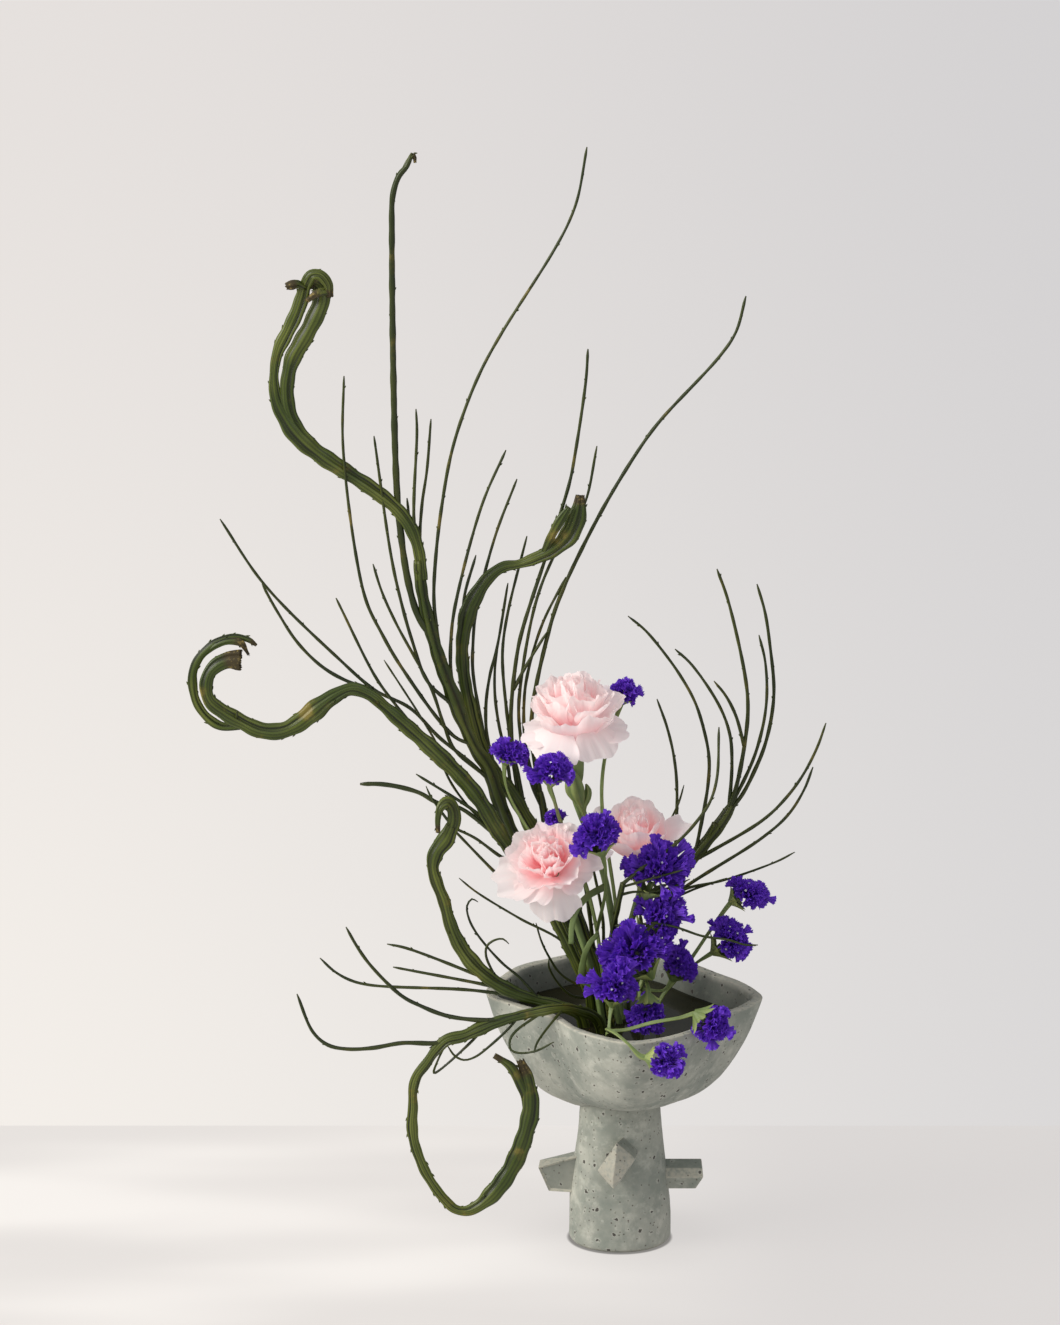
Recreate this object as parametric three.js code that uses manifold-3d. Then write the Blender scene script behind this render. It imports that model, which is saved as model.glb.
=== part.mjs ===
// Ikebana arrangement: broom branches, carnations and statice in a footed stoneware vase.
// Millimetres, +Z up. The origin is the middle of the foot's flat underside, and the front
// faces -Y.
import * as THREE from "three";
import { ConvexGeometry } from "three/addons/geometries/ConvexGeometry.js";
import { mergeVertices } from "three/addons/utils/BufferGeometryUtils.js";
import Module from "manifold-3d";

const wasm = await Module();
wasm.setup();

// ---------------------------------------------------------------- driving dimensions

const GAP = 0.3; // between touching pieces

// Vase
const JOINT_HEIGHT = 84.4; // where the bowl sits on the pedestal
const JOINT_RADIUS = 24.6;
const RIM_HEIGHT = 158;
const RIM_CORNER_RADIUS = 87; // from the axis to the right-hand corner
const WALL = 6.3;
const FLOOR_HEIGHT = 97; // inside the bowl
const FLOOR_RADIUS = 36;
const VASE_SIDES = 32;
const PEDESTAL_PROFILE = [[28.6, 0], [31.3, 3], [30.8, 24], [28.2, 50], [25.7, 69]];
const BOWL_PROFILE = [ // height, distance from the axis to the right-hand corner
  [JOINT_HEIGHT, JOINT_RADIUS], [89, 37], [96, 50], [106, 60.5], [119, 70], [135, 78.5],
  [149, 84], [RIM_HEIGHT, RIM_CORNER_RADIUS],
];
const RIM_PLAN = [ // the rim seen from above, anticlockwise from the right-hand corner
  [86, -12], [83, 3], [73, 22], [50, 51], [27, 81], [4, 96], [-14, 88], [-36, 73], [-61, 53],
  [-76, 24], [-82, 4], [-80, -10], [-66, -26], [-43, -50], [-29, -75], [-13, -91], [5, -100],
  [23, -96], [41, -81], [54, -64], [67, -43], [79, -27],
];

// Water and pin holder
const WATER_HEIGHT = 142;
const INSIDE_HEIGHTS = [103, 112, 125, WATER_HEIGHT, RIM_HEIGHT];
const HOLDER_MIDDLE = [-1, -3];
const HOLDER_RADIUS = 30;
const HOLDER_BASE = 8;
const HOLDER_SIDES = 20;
const PIN_LENGTH = 10;
const PIN_RADIUS = 1.2;
const PIN_SIDES = 3;
const PIN_SPACING = 7.6;
const PIN_FIELD_RADIUS = 26;
const FOOT_LEVEL = FLOOR_HEIGHT + GAP + HOLDER_BASE + GAP; // where every stem stands

// The drawing sheet. Every route is drawn full size on a sheet that faces the viewpoint, in
// squares of SHEET_SQUARE counted across and down from its top left corner, and is carried
// along the line of sight to its depth: y in mm, smaller is nearer to the viewer.
const SHEET_SQUARE = 0.6;
const SHEET_MIDDLE = [530, 662.5];
const SHEET_CENTRE = new THREE.Vector3(-55, 0, 365);
const VIEW_DISTANCE = 4000;
const VIEW_TILT = THREE.MathUtils.degToRad(15);

// Plants
const SHOOT = [1.7, 2.5]; // thickness of a thin shoot, at its tip and at its root
const TENDRIL = [1.3, 1.9];
const CREST_THICKNESS = 0.55; // of a flattened stem, as a share of its width
const STALK_THICKNESS = 0.85;
const BLADE_THICKNESS = 0.9;
const PETAL_THICKNESS = 0.7;
const STATICE_STEM = [1.7, 2.9];
const CARNATION_STEM = 4.4;
const FLORET_RADIUS = 3.9;

// Finishes
const FINISHES = {
  stoneware: { color: 0x969b8f, roughness: 0.82, metalness: 0 },
  water: { color: 0x1a1f1a, roughness: 0.05, metalness: 0 },
  pins: { color: 0x8a7a4a, roughness: 0.4, metalness: 0.9 },
  broom: { color: 0x3b4320, roughness: 0.55, metalness: 0 },
  petal: { color: 0xf0cfc8, roughness: 0.6, metalness: 0 },
  stem: { color: 0x6f7a45, roughness: 0.55, metalness: 0 },
  statice: { color: 0x3d1d94, roughness: 0.7, metalness: 0 },
};

// ---------------------------------------------------------------- the drawing sheet

const sightLine = new THREE.Vector3(0, Math.cos(VIEW_TILT), -Math.sin(VIEW_TILT));
const toViewer = sightLine.clone().negate();
const sheetUp = new THREE.Vector3(0, Math.sin(VIEW_TILT), Math.cos(VIEW_TILT));
const sheetRight = new THREE.Vector3(1, 0, 0);
const viewpoint = SHEET_CENTRE.clone().addScaledVector(toViewer, VIEW_DISTANCE);

function fromSheet([across, down, depth]) {
  const sight = SHEET_CENTRE.clone()
    .addScaledVector(sheetRight, (across - SHEET_MIDDLE[0]) * SHEET_SQUARE)
    .addScaledVector(sheetUp, (SHEET_MIDDLE[1] - down) * SHEET_SQUARE)
    .sub(viewpoint);
  return viewpoint.clone().addScaledVector(sight, (depth - viewpoint.y) / sight.y);
}

// ---------------------------------------------------------------- solids

// A closed solid from a list of corners and a list of triangles, turned to face out.
function closedSolid(corners, triangles) {
  let volume = 0;
  for (const [a, b, c] of triangles) {
    volume += corners[a].dot(new THREE.Vector3().crossVectors(corners[b], corners[c]));
  }
  const faces = volume < 0 ? triangles.map(([a, b, c]) => [a, c, b]) : triangles;
  return new wasm.Manifold(new wasm.Mesh({
    numProp: 3,
    vertProperties: new Float32Array(corners.flatMap((corner) => corner.toArray())),
    triVerts: new Uint32Array(faces.flat()),
  }));
}

function solidFromGeometry(geometry) {
  geometry.deleteAttribute("normal");
  geometry.deleteAttribute("uv");
  const merged = mergeVertices(geometry, 1e-4);
  const position = merged.getAttribute("position");
  const corners = [];
  for (let i = 0; i < position.count; i++) {
    corners.push(new THREE.Vector3().fromBufferAttribute(position, i));
  }
  const index = Array.from(merged.getIndex().array);
  const triangles = [];
  for (let i = 0; i < index.length; i += 3) {
    triangles.push(index.slice(i, i + 3));
  }
  return closedSolid(corners, triangles);
}

// Rings of equal count, one above the other, closed at both ends by a fan.
function ringSolid(rings) {
  const sides = rings[0].length;
  const corners = rings.flat();
  const triangles = [];
  for (let ring = 0; ring + 1 < rings.length; ring++) {
    for (let side = 0; side < sides; side++) {
      const next = (side + 1) % sides;
      const a = ring * sides + side;
      const b = ring * sides + next;
      triangles.push([a, b, b + sides], [a, b + sides, a + sides]);
    }
  }
  for (const [first, turned] of [[0, true], [(rings.length - 1) * sides, false]]) {
    const ring = corners.slice(first, first + sides);
    const middle = ring.reduce((sum, corner) => sum.add(corner), new THREE.Vector3());
    const centre = corners.push(middle.divideScalar(sides)) - 1;
    for (let side = 0; side < sides; side++) {
      const [a, b] = [first + side, first + ((side + 1) % sides)];
      triangles.push(turned ? [centre, b, a] : [centre, a, b]);
    }
  }
  return closedSolid(corners, triangles);
}

function fuse(solids) {
  return wasm.Manifold.union(solids);
}

// The largest body that is left after a cut, with loose scraps dropped.
function largestBody(solid) {
  const bodies = solid.decompose();
  return bodies.reduce((best, body) => (body.volume() > best.volume() ? body : best));
}

function meshFromSolid(name, solid, finish) {
  const { vertProperties, triVerts } = solid.getMesh();
  const geometry = new THREE.BufferGeometry();
  geometry.setAttribute("position", new THREE.BufferAttribute(vertProperties, 3));
  geometry.setIndex(new THREE.BufferAttribute(triVerts, 1));
  geometry.computeVertexNormals();
  const mesh = new THREE.Mesh(geometry, new THREE.MeshStandardMaterial(FINISHES[finish]));
  mesh.name = name;
  return mesh;
}

// ---------------------------------------------------------------- strands

function polygon(sides) {
  return Array.from({ length: sides }, (_, i) => {
    const angle = (2 * Math.PI * (i + 0.5)) / sides;
    return [Math.sin(angle) / 2, Math.cos(angle) / 2];
  });
}

// Sections as [across, front] in shares of the width and the thickness.
const SECTIONS = {
  shoot: polygon(3).map(([a, b]) => [a * 1.25, b * 1.25]),
  winged: [[0.5, 0], [0, -0.5], [-0.5, 0], [0, 0.5]],
  stalk: polygon(6),
  crest: [[0.5, 0], [0.26, -0.5], [-0.26, -0.5], [-0.5, 0], [-0.26, 0.5], [0.26, 0.5]],
};

// Sweeps a section along a strand. grow is added to its width and its thickness.
function sweep({ path, widths, flatness, section, stands }, grow = 0) {
  const last = path.length - 1;
  let side = null;
  const rings = path.map((point, i) => {
    const along = path[Math.min(i + 1, last)].clone().sub(path[Math.max(i - 1, 0)]).normalize();
    // A crest keeps its flat side to the viewer; a round strand takes no twist.
    side = side && section !== "crest"
      ? side.clone().addScaledVector(along, -side.dot(along)).normalize()
      : new THREE.Vector3().crossVectors(along, toViewer).normalize();
    const front = new THREE.Vector3().crossVectors(side, along).normalize();
    const width = widths[i] + grow;
    const thickness = (flatness < 0.3 ? BLADE_THICKNESS : widths[i] * flatness) + grow;
    return SECTIONS[section].map(([across, ahead]) => point.clone()
      .addScaledVector(side, across * width)
      .addScaledVector(front, ahead * thickness));
  });
  const beyondEnd = grow > 0 ? GAP + 0.1 : 0;
  const tip = path[0].clone().sub(path[1]).setLength(beyondEnd);
  const root = path[last].clone().sub(path[last - 1]);
  rings[0].forEach((corner) => corner.add(tip));
  rings[last].forEach((corner) => {
    const beyond = stands
      ? (FOOT_LEVEL - beyondEnd - corner.z) / root.z
      : beyondEnd / root.length();
    corner.addScaledVector(root, beyond);
  });
  return ringSolid(rings);
}

// The place on a strand's drawn route that is nearest to [across, down].
function nearestOn(drawn, [across, down]) {
  const place = new THREE.Vector2(across, down);
  let best = null;
  for (let i = 0; i + 1 < drawn.length; i++) {
    const from = new THREE.Vector3(...drawn[i]);
    const to = new THREE.Vector3(...drawn[i + 1]);
    const run = new THREE.Vector2(to.x - from.x, to.y - from.y);
    const start = new THREE.Vector2(from.x, from.y);
    const share = THREE.MathUtils.clamp(place.clone().sub(start).dot(run) / run.lengthSq(), 0, 1);
    const point = from.lerp(to, share);
    const distance = place.distanceTo(new THREE.Vector2(point.x, point.y));
    if (!best || distance < best.distance) {
      best = { distance, point };
    }
  }
  return best.point.toArray();
}

// A branch is a set of strands that are fused into one solid.
class Branch {
  constructor(name, finish) {
    this.name = name;
    this.finish = finish;
    this.strands = [];
  }

  add(drawn, widths, section, flatness, foot) {
    const path = drawn.map(fromSheet);
    const sizes = [...widths];
    if (foot) {
      path.push(new THREE.Vector3(...foot, FOOT_LEVEL));
      sizes.push(widths[widths.length - 1]);
    }
    const strand = { drawn, path, widths: sizes, section, flatness, stands: Boolean(foot) };
    this.strands.push(strand);
    return strand;
  }

  // A thick part: every point is [across, down, depth, width in squares].
  limb(points, { foot, section = "stalk", flatness = STALK_THICKNESS } = {}) {
    const drawn = points.map((point) => point.slice(0, 3));
    const widths = points.map((point) => point[3] * SHEET_SQUARE);
    return this.add(drawn, widths, section, flatness, foot);
  }

  crest(points, foot) {
    return this.limb(points, { foot, section: "crest", flatness: CREST_THICKNESS });
  }

  // A shoot from its tip to its root on a parent strand. Where a point gives no depth of its
  // own, the depth runs evenly between the points that do.
  shoot(parent, tipDepth, route, thickness = SHOOT, style = {}) {
    const { section = "shoot", flatness = 1 } = style;
    const drawn = [...route.slice(0, -1).map((point) => [...point]),
      nearestOn(parent.drawn, route[route.length - 1])];
    drawn[0][2] = tipDepth;
    const along = [0];
    for (let i = 1; i < drawn.length; i++) {
      along.push(along[i - 1]
        + Math.hypot(drawn[i][0] - drawn[i - 1][0], drawn[i][1] - drawn[i - 1][1]));
    }
    let from = 0;
    for (let to = 1; to < drawn.length; to++) {
      if (drawn[to].length === 3) {
        for (let i = from + 1; i < to; i++) {
          const share = (along[i] - along[from]) / (along[to] - along[from]);
          drawn[i][2] = THREE.MathUtils.lerp(drawn[from][2], drawn[to][2], share);
        }
        from = to;
      }
    }
    const widths = along.map((length) => THREE.MathUtils.lerp(
      thickness[0], thickness[1], length / along[along.length - 1]));
    return this.add(drawn, widths, section, flatness);
  }

  solid() {
    return fuse(this.strands.map((strand) => sweep(strand)));
  }

  // The same strands a little thicker: what has to stay free round them.
  clearance() {
    return fuse(this.strands.map((strand) => {
      const grow = strand.section === "stalk" || strand.section === "crest" ? 0.8 : 1.6;
      return sweep(strand, grow);
    }));
  }
}

// ---------------------------------------------------------------- broom branches

function buildTallBranch() {
  const branch = new Branch("broom_tall", "broom");
  const trunk = branch.limb([
    [419, 560, 4, 11], [421, 585, 4, 12], [428, 620, 5, 13], [438, 655, 6, 14],
    [447, 680, 7, 15], [455, 700, 8, 17], [463, 722, 8, 14], [475, 748, 8, 13],
    [488, 768, 8, 15], [497, 795, 8, 14], [508, 825, 8, 15], [520, 852, 8, 15],
    [547, 892, 8, 14], [569, 931, 8, 14], [588, 970, 7, 13], [601, 1002, 4, 12],
  ], { foot: [-10, 8] });
  // The forked crest at the top left: the outer strap hooks over, the inner one ends torn.
  const crest = branch.crest([
    [328, 297, -2, 6], [326, 284, -4, 9], [320, 275, -5, 11], [312, 275, -4, 12],
    [306, 284, -2, 12], [302, 298, 0, 13], [297, 312, 0, 15], [288, 331, 0, 14],
    [279, 349, 0, 12], [275, 365, 0, 10], [274, 385, 0, 10], [277, 402, 0, 13],
    [286, 420, 0, 17], [300, 438, 0, 19], [319, 454, 1, 18], [345, 471, 2, 16],
    [371, 488, 3, 15], [396, 508, 4, 14], [411, 528, 4, 13], [419, 552, 4, 12],
    [422, 580, 4, 11],
  ]);
  branch.crest([
    [320, 292, 2, 14], [320, 302, 1, 16], [316, 315, 0, 17], [308, 331, 0, 18],
    [300, 345, 0, 17], [293, 358, 0, 16], [289, 372, 0, 15], [287, 390, 0, 14],
    [289, 408, 0, 13], [297, 428, 0, 14], [310, 444, 0, 12],
  ]);
  branch.shoot(crest, -4, [[288, 286], [297, 284], [305, 285]], [4, 6]);
  branch.shoot(trunk, 6, [[412, 153], [407, 166], [399, 176], [393, 195], [392, 235],
    [396, 470], [400, 525], [408, 580], [418, 615], [428, 640]], [3, 3.8]);
  branch.shoot(trunk, 0, [[587, 147], [578, 197], [569, 222], [553, 252], [500, 336],
    [480, 373], [463, 415], [451, 455], [442, 505], [436, 555], [434, 600], [438, 637],
    [448, 672]]);
  branch.shoot(trunk, -4, [[344, 376], [343, 445], [356, 555], [367, 603], [381, 632],
    [402, 668], [455, 737], [472, 745]]);
  branch.shoot(trunk, 0, [[374, 436], [391, 555], [400, 597], [412, 640], [428, 682],
    [450, 712]], SHOOT);
  branch.shoot(trunk, 2, [[416, 409], [417, 430], [414, 520], [417, 560]], SHOOT);
  branch.shoot(trunk, 8, [[431, 419], [427, 470], [422, 505], [420, 545], [424, 590],
    [430, 622]], SHOOT);
  branch.shoot(trunk, -2, [[373, 564], [382, 592], [396, 623], [432, 690], [443, 722],
    [455, 750], [478, 785]], SHOOT);
  const leaning = branch.shoot(trunk, -6, [[220, 519], [264, 584], [338, 658], [375, 690],
    [410, 708], [440, 738], [470, 762], [492, 785]], SHOOT);
  branch.shoot(leaning, -8, [[262, 584], [277, 611], [298, 643], [324, 668], [352, 683],
    [372, 690]], SHOOT);
  branch.shoot(trunk, -5, [[336, 598], [375, 676], [392, 700], [440, 758], [470, 790],
    [502, 815]], SHOOT);
  branch.shoot(trunk, -8, [[384, 660], [424, 722], [437, 745], [447, 775], [463, 800],
    [490, 828], [518, 850]], TENDRIL);
  branch.shoot(trunk, 12, [[506, 450], [482, 505], [455, 607], [451, 640], [451, 672],
    [456, 702]], SHOOT);
  branch.shoot(trunk, 10, [[407, 498], [411, 530], [420, 568]], SHOOT);
  branch.shoot(trunk, 2, [[536, 923], [541, 940], [548, 955], [562, 975], [588, 998]], TENDRIL);
  branch.shoot(trunk, -2, [[549, 958], [549, 967], [559, 984], [573, 996], [593, 1000]], TENDRIL);
  return branch;
}

function buildCrestedBranch() {
  const branch = new Branch("broom_crested", "broom");
  const leg = branch.crest([
    [580, 496, 16, 9], [579, 508, 16, 16], [575, 523, 17, 19], [567, 538, 18, 19],
    [553, 550, 18, 15], [536, 558, 19, 12], [519, 564, 20, 10], [503, 567, 20, 11],
    [489, 577, 20, 12], [478, 592, 20, 16], [469, 610, 20, 17], [464, 630, 20, 15],
    [462, 650, 20, 13], [464, 675, 20, 13], [469, 702, 20, 13], [475, 728, 20, 14],
    [484, 755, 20, 14], [497, 775, 21, 14], [513, 795, 22, 14], [530, 825, 22, 15],
    [552, 868, 22, 14], [574, 915, 22, 14], [591, 960, 21, 13], [603, 1000, 18, 13],
  ], [-2, 18]);
  const second = branch.limb([
    [540, 792, 26, 7], [548, 830, 27, 9], [562, 872, 27, 11], [580, 920, 26, 11],
    [596, 965, 24, 11], [605, 1000, 19, 11],
  ]);
  branch.crest([[569, 507, 12, 5], [561, 519, 12, 9], [552, 535, 14, 9], [544, 552, 18, 7]]);
  const third = branch.shoot(leg, 28, [[588, 349], [586, 380], [575, 455], [569, 485],
    [523, 628], [517, 655], [511, 715], [513, 750], [520, 785], [530, 815]], [1.9, 3]);
  branch.shoot(second, 24, [[597, 446], [586, 500], [573, 525], [556, 552], [536, 602],
    [520, 690], [519, 720], [524, 755], [534, 790], [543, 812]], SHOOT);
  branch.shoot(second, 34, [[746, 296], [736, 332], [720, 356], [660, 421], [640, 448],
    [605, 505], [575, 563], [562, 592], [552, 620], [533, 705], [532, 740], [537, 775],
    [545, 805]], [1.9, 3.1]);
  branch.shoot(second, 30, [[566, 577], [542, 625], [527, 677], [524, 705], [525, 740],
    [532, 775], [544, 812]], SHOOT);
  branch.shoot(third, 27, [[547, 632], [525, 668], [516, 690]], SHOOT);
  branch.shoot(leg, 26, [[517, 479], [495, 537], [476, 612], [473, 645], [473, 672],
    [483, 730], [494, 765]], SHOOT);
  branch.shoot(leg, 24, [[476, 555], [464, 600], [463, 622]], SHOOT);
  branch.shoot(leg, 30, [[527, 536], [508, 612], [503, 645], [503, 672], [515, 775],
    [525, 808]], SHOOT);
  branch.shoot(leg, 28, [[508, 583], [497, 648], [490, 675], [486, 705], [487, 735],
    [500, 772]], SHOOT);
  branch.shoot(leg, 30, [[498, 642], [495, 668], [495, 695], [499, 725], [507, 760],
    [516, 790]], SHOOT);
  branch.shoot(second, 14, [[592, 862], [603, 920], [603, 960], [606, 990]], SHOOT);
  branch.shoot(second, 14, [[581, 868], [587, 895], [597, 962]], [2.4, 3]);
  return branch;
}

function buildCurledBranch() {
  const branch = new Branch("broom_curled", "broom");
  const curl = branch.crest([
    [238, 662, -22, 17], [228, 661, -22, 17], [217, 665, -22, 15], [209, 674, -22, 13],
    [206, 688, -22, 13], [210, 701, -22, 14], [222, 711, -21, 15], [240, 721, -20, 16],
    [260, 730, -20, 17], [280, 731, -19, 16], [297, 724, -18, 19], [314, 711, -18, 20],
    [333, 697, -17, 16], [352, 689, -16, 13], [370, 695, -16, 12], [386, 708, -15, 13],
    [403, 723, -14, 15], [421, 739, -13, 16], [441, 757, -13, 17], [462, 778, -12, 16],
    [479, 799, -12, 16], [495, 826, -11, 16], [511, 850, -10, 15], [540, 892, -9, 13],
    [561, 930, -9, 13], [580, 970, -9, 12], [591, 1000, -8, 11],
  ], [-20, 1]);
  const outer = branch.crest([
    [256, 645, -15, 3], [249, 640, -15, 6], [236, 637, -15, 7], [222, 640, -15, 8],
    [209, 648, -15, 9], [199, 658, -15, 9], [193, 672, -15, 9], [193, 688, -15, 9],
    [197, 703, -15, 9], [207, 717, -16, 9], [221, 726, -18, 9], [240, 726, -20, 8],
  ]);
  branch.crest([[247, 652, -18, 3], [241, 643, -18, 7], [229, 641, -17, 8],
    [216, 645, -16, 7], [203, 654, -15, 6]]);
  branch.shoot(curl, -30, [[236, 711], [234, 722]], [1.6, 2.2]);
  branch.shoot(outer, -15, [[208, 724], [213, 722], [219, 724]], [1.6, 2.4]);
  branch.shoot(curl, -10, [[360, 784], [380, 784], [400, 787], [420, 793], [438, 803],
    [460, 808], [480, 822], [508, 848]], [3.2, 2.6]);
  branch.shoot(curl, -8, [[416, 774], [480, 815], [500, 836]], SHOOT);
  branch.shoot(curl, -14, [[452, 827], [475, 838], [500, 856], [524, 870]], SHOOT);
  branch.shoot(curl, -16, [[452, 828], [500, 877], [522, 896], [552, 916]], SHOOT);
  branch.shoot(curl, -14, [[459, 878], [475, 891], [519, 918], [563, 942], [576, 962]], TENDRIL);
  return branch;
}

function buildLowBranch() {
  const branch = new Branch("broom_low", "broom");
  const stem = branch.crest([
    [452, 826, -26, 13], [446, 839, -25, 17], [436, 853, -24, 17], [433, 867, -24, 12],
    [437, 883, -24, 12], [444, 901, -24, 13], [449, 920, -24, 12], [456, 938, -24, 15],
    [467, 956, -24, 16], [481, 971, -24, 15], [498, 984, -23, 15], [516, 993, -22, 13],
    [537, 1000, -21, 11], [560, 1006, -21, 11], [580, 1016, -20, 12],
  ], [-21, -14]);
  // The rolled top folds over to the front and hangs down.
  branch.crest([
    [438, 832, -30, 5], [438, 818, -31, 6], [441, 807, -31, 9], [447, 803, -29, 13],
    [453, 809, -27, 14], [454, 822, -26, 14], [447, 838, -25, 15],
  ]);
  branch.shoot(stem, -20, [[478, 902], [472, 899], [467, 906], [469, 919], [477, 934],
    [501, 962], [520, 978], [541, 1000]], TENDRIL);
  branch.shoot(stem, -28, [[509, 944], [503, 939], [495, 940], [487, 946], [486, 956],
    [500, 984]], TENDRIL);
  branch.shoot(stem, -30, [[387, 944], [406, 948], [484, 978], [503, 987]], SHOOT);
  branch.shoot(stem, -26, [[393, 967], [500, 988], [517, 994]], SHOOT);
  branch.shoot(stem, -20, [[320, 958], [334, 971], [350, 980], [370, 985], [470, 990],
    [522, 997], [540, 1001]], SHOOT);
  branch.shoot(stem, -22, [[426, 786], [431, 797], [452, 826]], TENDRIL);
  return branch;
}

function buildHangingBranch() {
  const branch = new Branch("broom_hanging", "broom");
  const loop = branch.crest([
    [521, 1062, -64, 8], [526, 1074, -64, 12], [530, 1090, -64, 15], [531, 1108, -64, 17],
    [527, 1128, -64, 18], [521, 1147, -63, 18], [513, 1165, -62, 18], [503, 1181, -62, 19],
    [491, 1195, -61, 17], [478, 1206, -60, 13], [466, 1211, -60, 11], [455, 1209, -60, 9],
    [445, 1200, -60, 10], [436, 1189, -60, 10], [426, 1173, -60, 10], [419, 1157, -60, 10],
    [414, 1141, -60, 11], [412, 1124, -60, 11], [413, 1107, -60, 10], [413, 1090, -60, 10],
    [417, 1076, -60, 10], [426, 1064, -60, 10], [436, 1050, -60, 11], [447, 1040, -60, 12],
    [463, 1036, -60, 12], [479, 1029, -59, 14], [497, 1022, -58, 11], [518, 1016, -57, 10],
    [541, 1011, -55, 10], [562, 1008, -50, 9], [580, 1011, -42, 10], [598, 1021, -34, 11],
  ], [-11, -25]);
  branch.crest([[497, 1058, -68, 6], [507, 1067, -67, 8], [516, 1079, -66, 9],
    [524, 1096, -64, 10]]);
  branch.shoot(loop, -66, [[346, 927], [358, 948], [372, 967], [402, 996], [421, 1006],
    [444, 1015], [466, 1019], [492, 1020], [520, 1016]], [1.9, 3.2]);
  branch.shoot(loop, -60, [[297, 994], [313, 1032], [328, 1045], [347, 1049], [372, 1048],
    [402, 1043], [437, 1043], [450, 1039]], [1.9, 3.2]);
  branch.shoot(loop, -78, [[554, 1042], [536, 1051], [519, 1053], [511, 1050], [510, 1040],
    [516, 1031], [546, 1012]], TENDRIL);
  branch.shoot(loop, -78, [[534, 1053], [537, 1043], [563, 1009]], TENDRIL);
  branch.shoot(loop, -60, [[447, 1045], [455, 1056], [464, 1060], [475, 1057], [492, 1044],
    [510, 1027], [519, 1016]], TENDRIL);
  branch.shoot(loop, -60, [[446, 1044], [438, 1060], [434, 1073], [473, 1040], [484, 1027]], TENDRIL);
  return branch;
}

function buildRightSpray() {
  const branch = new Branch("broom_right", "broom");
  const trunk = branch.limb([
    [732, 805, 34, 9], [724, 818, 34, 12], [714, 832, 34, 13], [703, 846, 34, 13],
    [694, 857, 34, 12], [685, 870, 33, 10], [668, 900, 31, 9], [648, 942, 28, 9],
    [634, 980, 24, 9], [626, 1005, 18, 9],
  ], { foot: [13, 14] });
  branch.limb([[715, 823, 30, 6], [710, 833, 32, 6], [703, 846, 34, 6]]);
  const tall = branch.shoot(trunk, 26, [[717, 569], [728, 600], [745, 675], [748, 705],
    [746, 735], [736, 788], [727, 814]], [1.9, 3]);
  branch.shoot(tall, 22, [[714, 681], [726, 696], [736, 716], [743, 745]], SHOOT);
  branch.shoot(trunk, 42, [[757, 584], [765, 612], [770, 645], [774, 690], [771, 720],
    [764, 748], [754, 772], [742, 795], [727, 818]], [1.9, 2.8]);
  branch.shoot(trunk, 36, [[759, 635], [765, 660], [767, 690], [765, 715], [759, 742],
    [751, 765], [730, 808]], SHOOT);
  branch.shoot(trunk, 44, [[675, 649], [692, 665], [720, 707], [730, 735], [732, 760],
    [731, 785], [727, 810]], SHOOT);
  branch.shoot(trunk, 36, [[628, 616], [645, 630], [662, 650], [680, 675], [695, 702],
    [704, 730], [709, 757], [708, 785], [695, 856]], SHOOT);
  branch.shoot(trunk, 30, [[657, 699], [667, 727], [674, 757], [677, 790], [672, 890]], SHOOT);
  branch.shoot(trunk, 26, [[684, 785], [679, 802], [659, 847], [655, 880], [656, 920]], TENDRIL);
  branch.shoot(trunk, 30, [[826, 723], [817, 748], [803, 775], [786, 798], [763, 820],
    [690, 864]], SHOOT);
  branch.shoot(trunk, 38, [[813, 767], [804, 790], [788, 815], [762, 838], [684, 888],
    [668, 904]], SHOOT);
  branch.shoot(trunk, 24, [[795, 852], [778, 861], [725, 880], [684, 890], [664, 908]], TENDRIL);
  branch.shoot(trunk, 28, [[727, 878], [690, 891], [675, 899], [660, 916]], TENDRIL);
  return branch;
}

function buildCentreSpray() {
  const branch = new Branch("broom_centre", "broom");
  const trunk = branch.limb([
    [623, 883, -46, 6], [618, 905, -39, 6], [612, 935, -27, 6], [609, 970, -21, 6],
    [608, 1000, -19, 6],
  ], { foot: [2, -17] });
  branch.shoot(trunk, -10, [[719, 727], [717, 778], [710, 802], [698, 820], [682, 838],
    [662, 855], [641, 869], [623, 884]], SHOOT);
  branch.shoot(trunk, -46, [[683, 870], [622, 887]], TENDRIL);
  branch.shoot(trunk, -42, [[690, 879], [675, 886], [652, 892], [633, 892], [620, 895]], TENDRIL);
  branch.shoot(trunk, -38, [[758, 945], [746, 945], [728, 940], [702, 936], [675, 927, -45],
    [652, 923, -45], [633, 927], [614, 925]], TENDRIL);
  return branch;
}

// ---------------------------------------------------------------- carnations

// A bloom is four rings of petals, one inside the other, that are joined at their roots in
// one folded sheet: up the outside of a ring, over its fringe, down the inside and on to the
// next ring. Along a petal, reach is how far it spreads from the bloom's axis, rise how high it
// climbs, round how soon it has spread and droop how much its end falls again. petals is the
// number of petals in the ring and shift turns it by so many columns.
const PETAL_RINGS = [
  { petals: 5, shift: 0, start: [4.6, 0], reach: 30, rise: 24, round: 0, droop: 15 },
  { petals: 5, shift: 2, start: [3.7, 2], reach: 26, rise: 37, round: 0.6, droop: 5 },
  { petals: 4, shift: 1, start: [2.9, 5], reach: 18, rise: 46, round: 0.8, droop: 2 },
  { petals: 4, shift: 3, start: [2.1, 9], reach: 9, rise: 46, round: 0.6, droop: 0 },
];
const BLOOM_COLUMNS = 20;
const CALYX_MOUTH_RADIUS = 4.6;
const NOTCH = 0.62; // how far out two petals of a ring part
const FRINGE = 0.055; // how far the teeth of a petal's edge stand out, as a share of its length
const RUFFLE = 1.7; // how far its edge waves to and fro
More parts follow.
